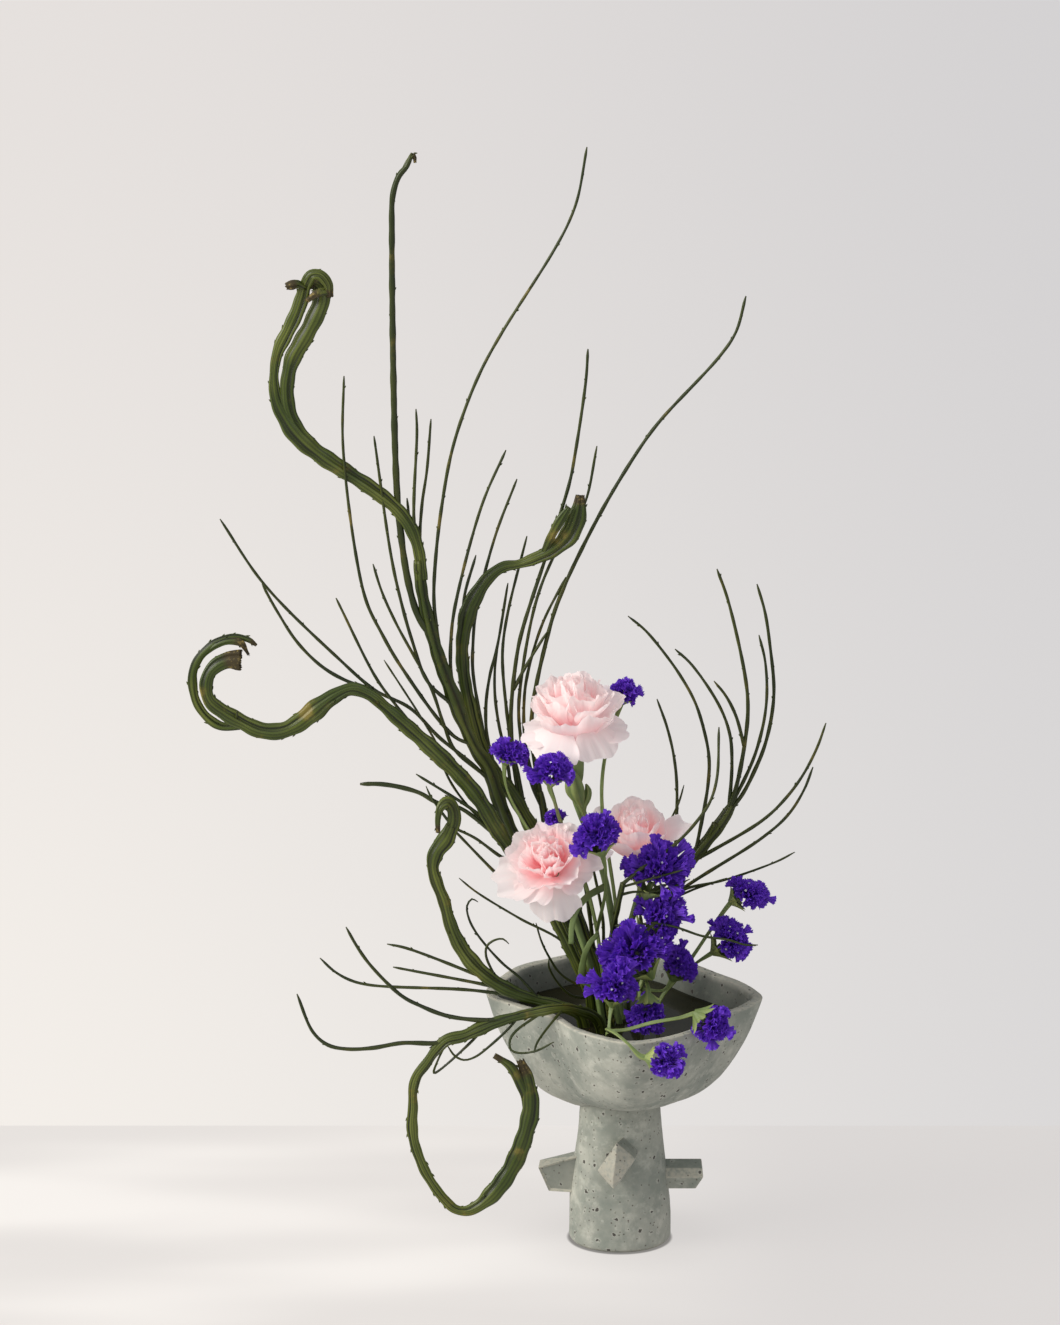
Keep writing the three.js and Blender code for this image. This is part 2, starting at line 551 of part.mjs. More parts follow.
const BOWING = 2.2; // how far its middle bows outward

function seededRandom(seed) {
  let state = seed;
  return () => {
    state = (state * 1664525 + 1013904223) % 4294967296;
    return state / 4294967296;
  };
}

// One row of a ring of petals, as points in the bloom's own space. face is -1 on the outside
// of the petals and 1 on the inside.
function petalRow(ring, row, face, thickness, growth) {
  const [startReach, startHeight] = ring.start;
  const columnsEach = BLOOM_COLUMNS / ring.petals;
  return Array.from({ length: BLOOM_COLUMNS }, (_, column) => {
    const turned = (column + ring.shift) % BLOOM_COLUMNS;
    const petal = Math.floor(turned / columnsEach);
    const across = (turned % columnsEach) / columnsEach;
    const teeth = row === 1 ? (column % 2 ? 1 : -1) : 0;
    const end = across === 0 ? NOTCH + 0.38 * (1 - row) : 1;
    const along = row * end * (1 + teeth * FRINGE);
    const spread = (ring.reach - startReach) * growth[petal];
    const climb = ring.rise - startHeight;
    const reach = startReach + spread * along * (1 + ring.round * (1 - along));
    const height = startHeight + climb * along ** 0.8 - ring.droop * along * along;
    const slope = new THREE.Vector2(spread, climb - 2 * ring.droop * along).normalize();
    const bowed = BOWING * (1 - (2 * across - 1) ** 2) * row;
    const inward = RUFFLE * (teeth || -0.3) * row - bowed + face * thickness / 2;
    const angle = (2 * Math.PI * column) / BLOOM_COLUMNS;
    const radius = Math.max(reach - slope.y * inward, 0.5);
    return new THREE.Vector3(Math.cos(angle) * radius, Math.sin(angle) * radius,
      height + slope.x * inward);
  });
}

// A bloom stands on its calyx mouth and looks from base to top, both drawn on the sheet.
function bloomSolid({ base, top, size, turn, seed, longPetal }) {
  const draw = seededRandom(seed);
  const foot = fromSheet(base);
  const axis = fromSheet(top).sub(foot).normalize();
  const ahead = toViewer.clone().addScaledVector(axis, -toViewer.dot(axis)).normalize();
  const side = new THREE.Vector3().crossVectors(axis, ahead);
  const place = new THREE.Matrix4().makeBasis(ahead, side, axis).setPosition(foot)
    .multiply(new THREE.Matrix4().makeRotationZ(turn))
    .multiply(new THREE.Matrix4().makeScale(size, size, size));
  const thickness = PETAL_THICKNESS / size;
  const rows = [];
  PETAL_RINGS.forEach((ring, layer) => {
    const growth = Array.from({ length: ring.petals }, () => 0.93 + 0.14 * draw());
    if (layer === 0 && longPetal) {
      growth[longPetal.petal] = longPetal.growth;
    }
    rows.push(petalRow(ring, 0, -1, thickness, growth), petalRow(ring, 0.55, -1, thickness, growth),
      petalRow(ring, 1, -1, thickness, growth), petalRow(ring, 1, 1, thickness, growth),
      petalRow(ring, 0.55, 1, thickness, growth));
  });
  rows.forEach((row) => row.forEach((point) => point.applyMatrix4(place)));
  return ringSolid(rows);
}

const BLOOMS = [
  { name: "carnation_bloom_upper", base: [577, 753, -16], top: [574, 700, -24], size: 1,
    turn: 0, seed: 11 },
  { name: "carnation_bloom_right", base: [636, 857, 6], top: [634, 804, 4], size: 0.82,
    turn: 0.3, seed: 23 },
  { name: "carnation_bloom_left", base: [555, 876, -26], top: [544, 846, -52], size: 0.9,
    turn: -1.05, seed: 37, longPetal: { petal: 0, growth: 1.4 } },
];

// A carnation stem: calyx, stem, leaves.
function buildCarnationStem({ name, bloom, calyxEnd, stem, foot, leaves = [], bud }) {
  const branch = new Branch(name, "stem");
  const width = CARNATION_STEM / SHEET_SQUARE;
  const mouth = CALYX_MOUTH_RADIUS * 2 * bloom.size / SHEET_SQUARE;
  const towards = (share) => bloom.base.map((value, i) => value + share * (calyxEnd[i] - value));
  const main = branch.limb([
    [...towards(0.05), mouth], [...towards(0.5), mouth * 1.1], [...calyxEnd, width * 1.1],
    ...stem.map((point) => [...point, width]),
  ], { foot, flatness: 1 });
  for (const { tip, route } of leaves) {
    branch.shoot(main, tip, route, [3.4, 5], { section: "winged", flatness: 0.2 });
  }
  if (bud) {
    branch.shoot(main, bud.tip, bud.route, [5, 2.4], { section: "stalk" });
  }
  return branch;
}

function buildCarnationStems() {
  return [
    buildCarnationStem({
      name: "carnation_stem_upper", bloom: BLOOMS[0], calyxEnd: [575, 796, -13],
      stem: [[580, 812, -12], [590, 836, -10], [602, 868, -9], [610, 905, -9],
        [615, 945, -10], [613, 990, -11]],
      foot: [9, -12],
      leaves: [{ tip: -42, route: [[571, 944], [572, 925], [577, 909, -38], [587, 897, -30],
        [606, 886]] }],
      bud: { tip: -18, route: [[588, 790], [588, 803], [589, 828]] },
    }),
    buildCarnationStem({
      name: "carnation_stem_right", bloom: BLOOMS[1], calyxEnd: [641, 888, 6],
      stem: [[636, 905, 4], [629, 930, 3], [622, 960, 2], [618, 995, -1]],
      foot: [16, -5],
    }),
    buildCarnationStem({
      name: "carnation_stem_left", bloom: BLOOMS[2], calyxEnd: [570, 900, -22],
      stem: [[577, 925, -21], [587, 955, -20], [597, 990, -17]],
      foot: [-6, -11],
      leaves: [{ tip: -30, route: [[598, 934], [590, 943], [584, 958], [583, 980],
        [596, 988]] }],
    }),
  ];
}

// ---------------------------------------------------------------- statice

// Each head is drawn by its middle, its half width and half height in squares; base is where
// its stem reaches it, and florets how many papery cups cover it.
const STATICE_HEADS = [
  { name: "statice_head_01", middle: [624, 693, 4], half: [12, 12], base: [621, 705], florets: 6 },
  { name: "statice_head_02", middle: [508, 753, -16], half: [16, 11], base: [505, 763], florets: 7 },
  { name: "statice_head_03", middle: [552, 771, -54], half: [20, 17], base: [550, 787], florets: 10 },
  { name: "statice_head_04", middle: [554, 818, -20], half: [9, 9], base: [559, 826], florets: 4 },
  { name: "statice_head_05", middle: [597, 836, -54], half: [21, 21], base: [603, 856], florets: 11 },
  { name: "statice_head_06", middle: [657, 872, -34], half: [34, 25], base: [648, 892], florets: 16 },
  { name: "statice_head_07", middle: [660, 917, -36], half: [26, 22], base: [648, 928], florets: 12 },
  { name: "statice_head_08", middle: [634, 953, -45], half: [34, 24], base: [646, 970], florets: 16 },
  { name: "statice_head_09", middle: [615, 987, -70], half: [24, 22], base: [612, 1006], florets: 11 },
  { name: "statice_head_10", middle: [680, 964, -26], half: [14, 19], base: [672, 980], florets: 8 },
  { name: "statice_head_11", middle: [648, 1012, -56], half: [17, 24], base: [648, 992], florets: 9 },
  { name: "statice_head_12", middle: [748, 893, -10], half: [21, 14], base: [733, 901], florets: 9 },
  { name: "statice_head_13", middle: [730, 940, -18], half: [19, 20], base: [714, 952], florets: 9 },
  { name: "statice_head_14", middle: [712, 1025, -84], half: [19, 20], base: [697, 1014], florets: 9 },
  { name: "statice_head_15", middle: [664, 1060, -114], half: [21, 14], base: [641, 1057], florets: 8 },
];
const CORE_SHARE = 0.78; // of the head, in the middle of its florets
const ROOT_SHARE = 0.5; // of the head, where a floret is rooted
const FLORET_SIDES = 5;
const GOLDEN_ANGLE = Math.PI * (3 - Math.sqrt(5));

// A papery cup: a cone with its point sunk in the core and a dished, uneven mouth.
function floretSolid(from, mouth, radius, draw) {
  const direction = mouth.clone().sub(from).normalize();
  const side = new THREE.Vector3().crossVectors(direction, sheetUp).normalize();
  const up = new THREE.Vector3().crossVectors(side, direction);
  const corners = [from.clone(), mouth.clone().addScaledVector(direction, -radius * 0.5)];
  const start = draw() * Math.PI;
  for (let i = 0; i < FLORET_SIDES; i++) {
    const angle = start + (2 * Math.PI * i) / FLORET_SIDES;
    corners.push(mouth.clone()
      .addScaledVector(side, radius * Math.cos(angle))
      .addScaledVector(up, radius * Math.sin(angle))
      .addScaledVector(direction, radius * 0.5 * (draw() - 0.5)));
  }
  const triangles = [];
  for (let i = 0; i < FLORET_SIDES; i++) {
    const [a, b] = [2 + i, 2 + ((i + 1) % FLORET_SIDES)];
    triangles.push([0, b, a], [1, a, b]);
  }
  return closedSolid(corners, triangles);
}

function headSolid({ middle, half, base, florets }, seed) {
  const draw = seededRandom(seed);
  const centre = fromSheet(middle);
  const axis = centre.clone().sub(fromSheet([...base, middle[2]])).normalize();
  const across = half[0] * SHEET_SQUARE;
  const upright = half[1] * SHEET_SQUARE;
  const deep = (across + upright) * 0.42;
  const stretch = new THREE.Vector3(across, deep, upright);
  const core = new THREE.IcosahedronGeometry(CORE_SHARE, 0);
  core.scale(stretch.x, stretch.y, stretch.z).translate(centre.x, centre.y, centre.z);
  const parts = [solidFromGeometry(core)];
  const turn = new THREE.Quaternion().setFromUnitVectors(new THREE.Vector3(0, 0, 1), axis);
  for (let i = 0; i < florets; i++) {
    const height = 1 - (1.5 * (i + 0.5)) / florets;
    const angle = i * GOLDEN_ANGLE + seed + 0.4 * draw();
    const flat = Math.sqrt(1 - height * height);
    const radial = new THREE.Vector3(flat * Math.cos(angle), flat * Math.sin(angle), height)
      .applyQuaternion(turn);
    const rim = radial.multiply(stretch);
    const from = centre.clone().addScaledVector(rim, ROOT_SHARE);
    parts.push(floretSolid(from, centre.clone().add(rim), FLORET_RADIUS * (0.9 + 0.2 * draw()),
      draw));
  }
  return fuse(parts);
}

const CUP_WIDTH = 5.5; // of the green cup under a head
const CUP_DEPTH = 0.5; // how far the cup reaches into its head
const WINGED = { section: "winged", flatness: 0.75 };

// The two ends of the green cup under a head.
function cupEnds(headIndex) {
  const { middle, base } = STATICE_HEADS[headIndex - 1];
  const inside = [0, 1].map((i) => THREE.MathUtils.lerp(base[i], middle[i], CUP_DEPTH));
  return [[...inside, middle[2]], [...base, middle[2]]];
}

function staticeStem(branch, headIndex, points, foot) {
  const width = STATICE_STEM[1] / SHEET_SQUARE;
  const cup = CUP_WIDTH / SHEET_SQUARE;
  return branch.limb([
    ...cupEnds(headIndex).map((point, i) => [...point, cup * (1 - 0.2 * i)]),
    ...points.map((point) => [...point, width]),
  ], { foot, ...WINGED });
}

// A side stalk; its depth runs evenly from the head to the stem it leaves.
function headStalk(branch, parent, headIndex, route) {
  const ends = cupEnds(headIndex);
  const stalk = branch.shoot(parent, ends[0][2], [...ends, ...route], STATICE_STEM, WINGED);
  stalk.widths[0] = CUP_WIDTH;
  stalk.widths[1] = CUP_WIDTH * 0.8;
  return stalk;
}

function buildStaticeStems() {
  const back = new Branch("statice_stem_back", "stem");
  staticeStem(back, 1, [[612, 730, 5], [604, 765, 7], [602, 800, 7], [608, 850, 8],
    [616, 910, 7], [615, 960, 7], [613, 1000, 5]], [5, 4]);

  const left = new Branch("statice_stem_left", "stem");
  const leftStem = staticeStem(left, 3, [[554, 799, -50], [561, 822, -24], [572, 850, -13],
    [587, 888, -10], [597, 930, -7], [603, 975, -5]], [-2, 0]);
  headStalk(left, leftStem, 2, [[506, 785], [518, 812], [540, 842], [574, 856]]);
  headStalk(left, leftStem, 4, [[564, 836], [576, 858]]);
  headStalk(left, leftStem, 5, [[606, 872], [605, 895], [598, 930]]);

  const middle = new Branch("statice_stem_middle", "stem");
  const middleStem = staticeStem(middle, 6, [[650, 907, -24], [651, 927, -14],
    [650, 947, -12], [647, 967, -16], [640, 990, -22]], [20, -16]);
  headStalk(middle, middleStem, 7, [[646, 940, -31], [649, 956]]);
  headStalk(middle, middleStem, 8, [[649, 975], [642, 988]]);
  headStalk(middle, middleStem, 10, [[664, 990], [643, 990]]);
  headStalk(middle, middleStem, 11, [[646, 982, -47], [641, 990]]);

  const right = new Branch("statice_stem_right", "stem");
  const rightStem = staticeStem(right, 12, [[713, 927, -10], [694, 955, -10],
    [676, 980, -10], [660, 1002, -10]], [23, -7]);
  headStalk(right, rightStem, 13, [[698, 962], [678, 978]]);

  const low = new Branch("statice_stem_low", "stem");
  const lowStem = staticeStem(low, 14, [[680, 1018, -83], [652, 1023, -82],
    [626, 1030, -80], [609, 1032, -77], [607, 1040, -68]], [9, -23]);
  headStalk(low, lowStem, 9, [[610, 1018], [609, 1031]]);
  headStalk(low, lowStem, 15, [[628, 1044, -111], [616, 1034, -104], [607, 1029, -92],
    [609, 1032]]);
  return [back, left, middle, right, low];
}

// ---------------------------------------------------------------- vase, water, pin holder

const rimCurve = new THREE.CatmullRomCurve3(
  RIM_PLAN.map(([x, y]) => new THREE.Vector3(x, y, 0)), true, "centripetal");
const rimPoints = rimCurve.getSpacedPoints(VASE_SIDES).slice(0, VASE_SIDES);

function cornerRadius(height) {
  const above = BOWL_PROFILE.findIndex(([level]) => level >= height);
  const [low, high] = [BOWL_PROFILE[Math.max(above - 1, 0)], BOWL_PROFILE[above]];
  const share = high[0] === low[0] ? 0 : (height - low[0]) / (high[0] - low[0]);
  return THREE.MathUtils.lerp(low[1], high[1], share);
}

// The bowl's section at a height, moved in by inset: round at the joint, the rim's plan at the
// rim, and in between by the share that the right-hand corner has grown.
function bowlRing(height, inset) {
  const grown = (cornerRadius(height) - JOINT_RADIUS) / (RIM_CORNER_RADIUS - JOINT_RADIUS);
  return rimPoints.map((point) => {
    const full = Math.hypot(point.x, point.y);
    const radius = JOINT_RADIUS + (full - JOINT_RADIUS) * grown - inset;
    return new THREE.Vector3(point.x * radius / full, point.y * radius / full, height);
  });
}

function roundRing(radius, height) {
  return rimPoints.map(({ x, y }) => {
    const full = Math.hypot(x, y);
    return new THREE.Vector3(x * radius / full, y * radius / full, height);
  });
}

// Lugs: hand-cut blocks with slanting facets, given by their corners.
const LUGS = [
  [ // right: a six-sided bar, its end cut back below
    ...[[2, 50], [-5, 46], [-8, 41], [-4, 32.5], [5, 33], [9, 43]].flatMap(([y, z], i) => [
      [22, y, z], [[50, 50.5, 51, 46.5, 46.5, 50][i], y, z]]),
  ],
  [ // left: a wedge, deeper at the pedestal
    [-22, -9, 56], [-22, 8, 54], [-22, -8, 31], [-22, 7, 31],
    [-50, -8, 47.5], [-49, 5, 48], [-43.5, -7, 32], [-43, 6, 32],
  ],
  [ // front: a crystal with a roof-shaped end
    [-2, -40, 74], [4.5, -41, 66], [-5, -43, 45], [-14, -41, 54], [-5, -46, 60], [-3, -45, 52],
    [5, -20, 71], [12, -20, 65], [4, -20, 44], [-7, -20, 53],
  ],
  [ // back: a guess after the front one
    [2, 40, 70], [-5, 41, 62], [4, 43, 42], [13, 41, 50], [4, 46, 56],
    [-4, 20, 68], [-11, 20, 61], [-3, 20, 41], [7, 20, 50],
  ],
];

function buildVase() {
  const outside = [
    ...PEDESTAL_PROFILE.map(([radius, height]) => roundRing(radius, height)),
    ...BOWL_PROFILE.map(([height]) => bowlRing(height, 0)),
  ];
  const inside = [...INSIDE_HEIGHTS].reverse().map((height) => bowlRing(height, WALL));
  const body = ringSolid([...outside, ...inside, roundRing(FLOOR_RADIUS, FLOOR_HEIGHT)]);
  const lugs = LUGS.map((corners) => solidFromGeometry(
    new ConvexGeometry(corners.map((corner) => new THREE.Vector3(...corner)))));
  return fuse([body, ...lugs]);
}

// Pins stand where no stem does.
function buildPinHolder(stems) {
  const bottom = FLOOR_HEIGHT + GAP;
  const plate = new THREE.CylinderGeometry(HOLDER_RADIUS, HOLDER_RADIUS, HOLDER_BASE, HOLDER_SIDES);
  plate.rotateX(Math.PI / 2).translate(...HOLDER_MIDDLE, bottom + HOLDER_BASE / 2);
  const parts = [solidFromGeometry(plate)];
  const rows = Math.ceil(PIN_FIELD_RADIUS / PIN_SPACING) + 1;
  const sunk = 1;
  for (let row = -rows; row <= rows; row++) {
    for (let column = -rows; column <= rows; column++) {
      const x = (column + (row % 2 ? 0.5 : 0)) * PIN_SPACING;
      const y = row * PIN_SPACING * Math.sin(Math.PI / 3);
      const pin = new THREE.ConeGeometry(PIN_RADIUS, PIN_LENGTH + sunk, PIN_SIDES);
      pin.rotateX(Math.PI / 2).translate(HOLDER_MIDDLE[0] + x, HOLDER_MIDDLE[1] + y,
        bottom + HOLDER_BASE + (PIN_LENGTH - sunk) / 2);
      const solid = solidFromGeometry(pin);
      if (Math.hypot(x, y) < PIN_FIELD_RADIUS && solid.intersect(stems).isEmpty()) {
        parts.push(solid);
      }
    }
  }
  return fuse(parts);
}

function buildWater(stems) {
  const heights = INSIDE_HEIGHTS.filter((height) => height <= WATER_HEIGHT);
  const body = ringSolid([
    ...heights.reverse().map((height) => bowlRing(height, WALL + GAP)),
    roundRing(FLOOR_RADIUS - GAP, FLOOR_HEIGHT + GAP),
  ]);
  const top = FOOT_LEVEL + PIN_LENGTH;
  const room = new THREE.CylinderGeometry(HOLDER_RADIUS + GAP, HOLDER_RADIUS + GAP,
    top - FLOOR_HEIGHT + GAP, HOLDER_SIDES);
  room.rotateX(Math.PI / 2).translate(...HOLDER_MIDDLE, (FLOOR_HEIGHT - GAP + top) / 2);
  return largestBody(body.subtract(solidFromGeometry(room)).subtract(stems));
}

// ---------------------------------------------------------------- assembly

const brooms = [buildTallBranch(), buildCrestedBranch(), buildCurledBranch(), buildLowBranch(),
  buildHangingBranch(), buildRightSpray(), buildCentreSpray()];
const carnationStems = buildCarnationStems();
const staticeStems = buildStaticeStems();
const branches = [...brooms, ...carnationStems, ...staticeStems];
const allClearance = fuse(branches.map((branch) => branch.clearance()));

const group = new THREE.Group();
group.add(meshFromSolid("vase", buildVase(), "stoneware"));
group.add(meshFromSolid("pin_holder", buildPinHolder(allClearance), "pins"));
group.add(meshFromSolid("water", buildWater(allClearance), "water"));
for (const branch of branches) {
  group.add(meshFromSolid(branch.name, branch.solid(), branch.finish));
}
for (const bloom of BLOOMS) {
  const solid = largestBody(bloomSolid(bloom).subtract(allClearance));
  group.add(meshFromSolid(bloom.name, solid, "petal"));
}
STATICE_HEADS.forEach((head, i) => {
  const solid = largestBody(headSolid(head, i + 1).subtract(allClearance));
  group.add(meshFromSolid(head.name, solid, "statice"));
});

export default group;
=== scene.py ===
"""Ikebana arrangement: broom, carnations and statice in a footed stoneware vase.

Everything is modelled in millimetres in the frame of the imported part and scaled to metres
when a mesh is made. The origin is the middle of the foot and the front faces -Y.
"""

import math
import random

import bmesh
import bpy
import numpy as np
from bpy.props import FloatProperty, FloatVectorProperty, IntProperty, PointerProperty
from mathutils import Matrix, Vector, noise


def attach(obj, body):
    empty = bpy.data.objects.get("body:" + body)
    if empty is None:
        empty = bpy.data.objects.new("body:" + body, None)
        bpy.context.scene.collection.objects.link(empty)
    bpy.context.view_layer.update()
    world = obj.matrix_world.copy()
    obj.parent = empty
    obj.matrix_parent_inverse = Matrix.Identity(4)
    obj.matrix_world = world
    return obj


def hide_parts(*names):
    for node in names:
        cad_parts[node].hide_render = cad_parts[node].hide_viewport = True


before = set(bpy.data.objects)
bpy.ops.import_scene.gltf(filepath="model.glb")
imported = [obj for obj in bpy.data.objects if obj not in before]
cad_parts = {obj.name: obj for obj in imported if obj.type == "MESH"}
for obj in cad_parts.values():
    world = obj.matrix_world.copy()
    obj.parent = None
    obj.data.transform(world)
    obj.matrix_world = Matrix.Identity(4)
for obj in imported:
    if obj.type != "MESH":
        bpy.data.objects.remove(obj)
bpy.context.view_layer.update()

bl_info = {
    "name": "Ikebana arrangement",
    "version": (1, 0, 0),
    "blender": (4, 5, 0),
    "location": "3D View > Sidebar > Ikebana",
    "description": "Builds broom, carnations and statice in a footed stoneware vase",
    "category": "Add Mesh",
}

MM = 0.001


# ---------------------------------------------------------------- sizes shared with the solids

GAP = 0.3  # between pieces that meet
JOINT_RADIUS = 24.6
RIM_HEIGHT = 158
RIM_CORNER_RADIUS = 87
WALL = 6.3
FLOOR_HEIGHT = 97
FLOOR_RADIUS = 36
PEDESTAL_PROFILE = [[28.6, 0], [31.3, 3], [30.8, 24], [28.2, 50], [25.7, 69], [24.6, 84.4]]
BOWL_PROFILE = [
    [84.4, 24.6], [89, 37], [96, 50], [106, 60.5], [119, 70], [135, 78.5], [149, 84], [158, 87],
]
RIM_PLAN = [
    [86, -12], [83, 3], [73, 22], [50, 51], [27, 81], [4, 96], [-14, 88], [-36, 73], [-61, 53],
    [-76, 24], [-82, 4], [-80, -10], [-66, -26], [-43, -50], [-29, -75], [-13, -91], [5, -100],
    [23, -96], [41, -81], [54, -64], [67, -43], [79, -27],
]
LUGS = [
    [
        [22, 2, 50], [50, 2, 50], [22, -5, 46], [50.5, -5, 46], [22, -8, 41], [51, -8, 41],
        [22, -4, 32.5], [46.5, -4, 32.5], [22, 5, 33], [46.5, 5, 33], [22, 9, 43], [50, 9, 43],
    ],
    [
        [-22, -9, 56], [-22, 8, 54], [-22, -8, 31], [-22, 7, 31],
        [-50, -8, 47.5], [-49, 5, 48], [-43.5, -7, 32], [-43, 6, 32],
    ],
    [
        [-2.5, -40, 74.5], [9, -36, 63], [-4.4, -42, 45.5], [-14.3, -39, 56.4], [-3.4, -47, 64],
        [-4.6, -46.5, 54], [3, -20, 73], [12, -20, 64], [3, -20, 46], [-9, -20, 56],
    ],
    [
        [2, 40, 70], [-5, 41, 62], [4, 43, 42], [13, 41, 50], [4, 46, 56],
        [-4, 20, 68], [-11, 20, 61], [-3, 20, 41], [7, 20, 50],
    ],
]
WATER_HEIGHT = 142
HOLDER_BASE = 8  # the plate that carries the pins
FOOT_LEVEL = FLOOR_HEIGHT + GAP + HOLDER_BASE + GAP  # where the stems end

# The drawing sheet: routes are drawn in squares of 0.6 mm, across and down from its top left
# corner, and carried along the line of sight to their depth (y in mm).
SHEET_SQUARE = 0.6
SHEET_MIDDLE = (530, 662.5)
VIEW_DISTANCE = 4000
TILT = math.radians(15)
SIGHT = np.array([0, math.cos(TILT), -math.sin(TILT)])
TO_VIEWER = -SIGHT
SHEET_UP = np.array([0, math.sin(TILT), math.cos(TILT)])
SHEET_CENTRE = np.array([-55.0, 0, 365])
VIEWPOINT = SHEET_CENTRE + TO_VIEWER * VIEW_DISTANCE

# Widths in mm, of a pair the one at the tip first, and thicknesses as shares of the width.
SHOOT = [1.7, 2.5]
TENDRIL = [1.3, 1.9]
CREST_THICKNESS = 0.55
STALK_THICKNESS = 0.85
BLADE_THICKNESS = 0.9  # of a leaf, in mm
STATICE_STEM = [1.7, 2.9]
CARNATION_STEM = 4.4
LEAF = [3.4, 5]
CALYX_MOUTH_RADIUS = 4.6
GOLDEN_ANGLE = math.pi * (3 - math.sqrt(5))


def srgb(red, green, blue):
    """A colour given in display values from 0 to 255, as the linear values of a socket."""
    shares = [value / 255 for value in (red, green, blue)]
    return tuple(s / 12.92 if s <= 0.04045 else ((s + 0.055) / 1.055) ** 2.4 for s in shares)


def from_sheet(place):
    """Carries a drawn point to its place in space, in mm."""
    across, down, depth = place
    sight = (
        SHEET_CENTRE
        + np.array([(across - SHEET_MIDDLE[0]) * SHEET_SQUARE, 0, 0])
        + SHEET_UP * (SHEET_MIDDLE[1] - down) * SHEET_SQUARE
        - VIEWPOINT
    )
    return VIEWPOINT + sight * (depth - VIEWPOINT[1]) / sight[1]


def unit(vector):
    """The vector's direction, with a length of 1."""
    return vector / np.linalg.norm(vector)


def blend(t, start, first, end, second):
    """Runs from the first value where t is start to the second where t is end."""
    return ((end - t) * first + (t - start) * second) / (end - start)


def smooth(points, step, closed=False):
    """A centripetal curve through the points, sampled about every step.

    The first three columns are the place; any others are carried along.
    """
    points = np.asarray(points, float)
    if closed:
        padded = np.vstack([points[-1:], points, points[:2]])
    else:
        padded = np.vstack([2 * points[0] - points[1], points, 2 * points[-1] - points[-2]])
    sampled = []
    for four in zip(padded, padded[1:], padded[2:], padded[3:]):
        runs = [max(np.linalg.norm((b - a)[:3]), 1e-4) for a, b in zip(four, four[1:])]
        knots = np.concatenate([[0], np.cumsum(np.sqrt(runs))])
        count = max(int(round(runs[1] / step)), 1)
        t = np.linspace(knots[1], knots[2], count, endpoint=False)[:, None]
        first = [blend(t, knots[i], four[i], knots[i + 1], four[i + 1]) for i in range(3)]
        second = [blend(t, knots[i], first[i], knots[i + 2], first[i + 1]) for i in range(2)]
        sampled.append(blend(t, knots[1], second[0], knots[2], second[1]))
    if not closed:
        sampled.append(points[-1:])
    return np.vstack(sampled)


def lengths_along(points):
    """The distance from the first point to each point."""
    steps = np.linalg.norm(np.diff(points[:, :3], axis=0), axis=1)
    return np.concatenate([[0], np.cumsum(steps)])


# ---------------------------------------------------------------- meshes


def grid_faces(rows, columns, round_columns=False):
    """The four-cornered faces of a grid of corners that are numbered row by row."""
    last = columns if round_columns else columns - 1
    return [
        [
            row * columns + column,
            row * columns + (column + 1) % columns,
            (row + 1) * columns + (column + 1) % columns,
            (row + 1) * columns + column,
        ]
        for row in range(rows - 1)
        for column in range(last)
    ]


def new_object(name, data):
    """Makes an object and puts it in the scene."""
    made = bpy.data.objects.new(name, data)
    bpy.context.scene.collection.objects.link(made)
    return made


class Mould:
    """Collects corners, faces and per-corner marks, and casts them as one mesh object."""

    def __init__(self, *marks):
        self.corners = []
        self.faces = []
        self.marks = {name: [] for name in marks}
        self.count = 0
        self.smooth = []

    def add(self, corners, faces, flat=False, **marks):
        """Adds corners (n x 3, mm) and faces (lists of corner numbers)."""
        corners = np.asarray(corners, float).reshape(-1, 3)
        self.smooth.extend([not flat] * len(faces))
        self.corners.append(corners)
        self.faces.extend([[corner + self.count for corner in face] for face in faces])
        for name, values in self.marks.items():
            value = marks.get(name, 0.0)
            values.append(np.broadcast_to(np.asarray(value, float).reshape(-1), (len(corners),)))
        self.count += len(corners)

    def grid(self, points, round_columns=False, **marks):
        """Adds a grid of points (rows x columns x 3), each mark given over the same grid."""
        rows, columns = points.shape[:2]
        full = {
            name: np.broadcast_to(np.asarray(value, float), (rows, columns))
            for name, value in marks.items()
        }
        self.add(points, grid_faces(rows, columns, round_columns), **full)

    def tube(self, rings, **marks):
        """Adds rings (rows x sides x 3), closed at both ends by a fan."""
        start = self.count
        rows, sides = rings.shape[:2]
        self.grid(rings, round_columns=True, **marks)
        for row, turned in ((0, True), (rows - 1, False)):
            middle = rings[row].mean(axis=0)
            centre = self.count
            values = {
                name: np.broadcast_to(np.asarray(value, float), (rows, sides))[row].mean()
                for name, value in marks.items()
            }
            self.add([middle], [], **values)
            for side in range(sides):
                a = start + row * sides + side
                b = start + row * sides + (side + 1) % sides
                self.faces.append([centre, b, a] if turned else [centre, a, b])
                self.smooth.append(True)

    def cast(self, name, finish, slot, nodes):
        """Makes the object, gives it its material and lets it ride on the part."""
        mesh = bpy.data.meshes.new(name)
        corners = np.vstack(self.corners) * MM
        mesh.from_pydata(corners.tolist(), [], self.faces)
        for mark, values in self.marks.items():
            layer = mesh.attributes.new(mark, "FLOAT", "POINT")
            layer.data.foreach_set("value", np.concatenate(values).astype(np.float32))
        mesh.polygons.foreach_set("use_smooth", self.smooth)
        mesh.materials.append(finish)
        mesh.update()
        place_on_part(new_object(name, mesh), nodes)


def place_on_part(made, nodes):
    """Lets a piece ride on the part in place of the nodes it stands for."""
    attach(made, "root")
    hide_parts(*nodes)


# ---------------------------------------------------------------- materials


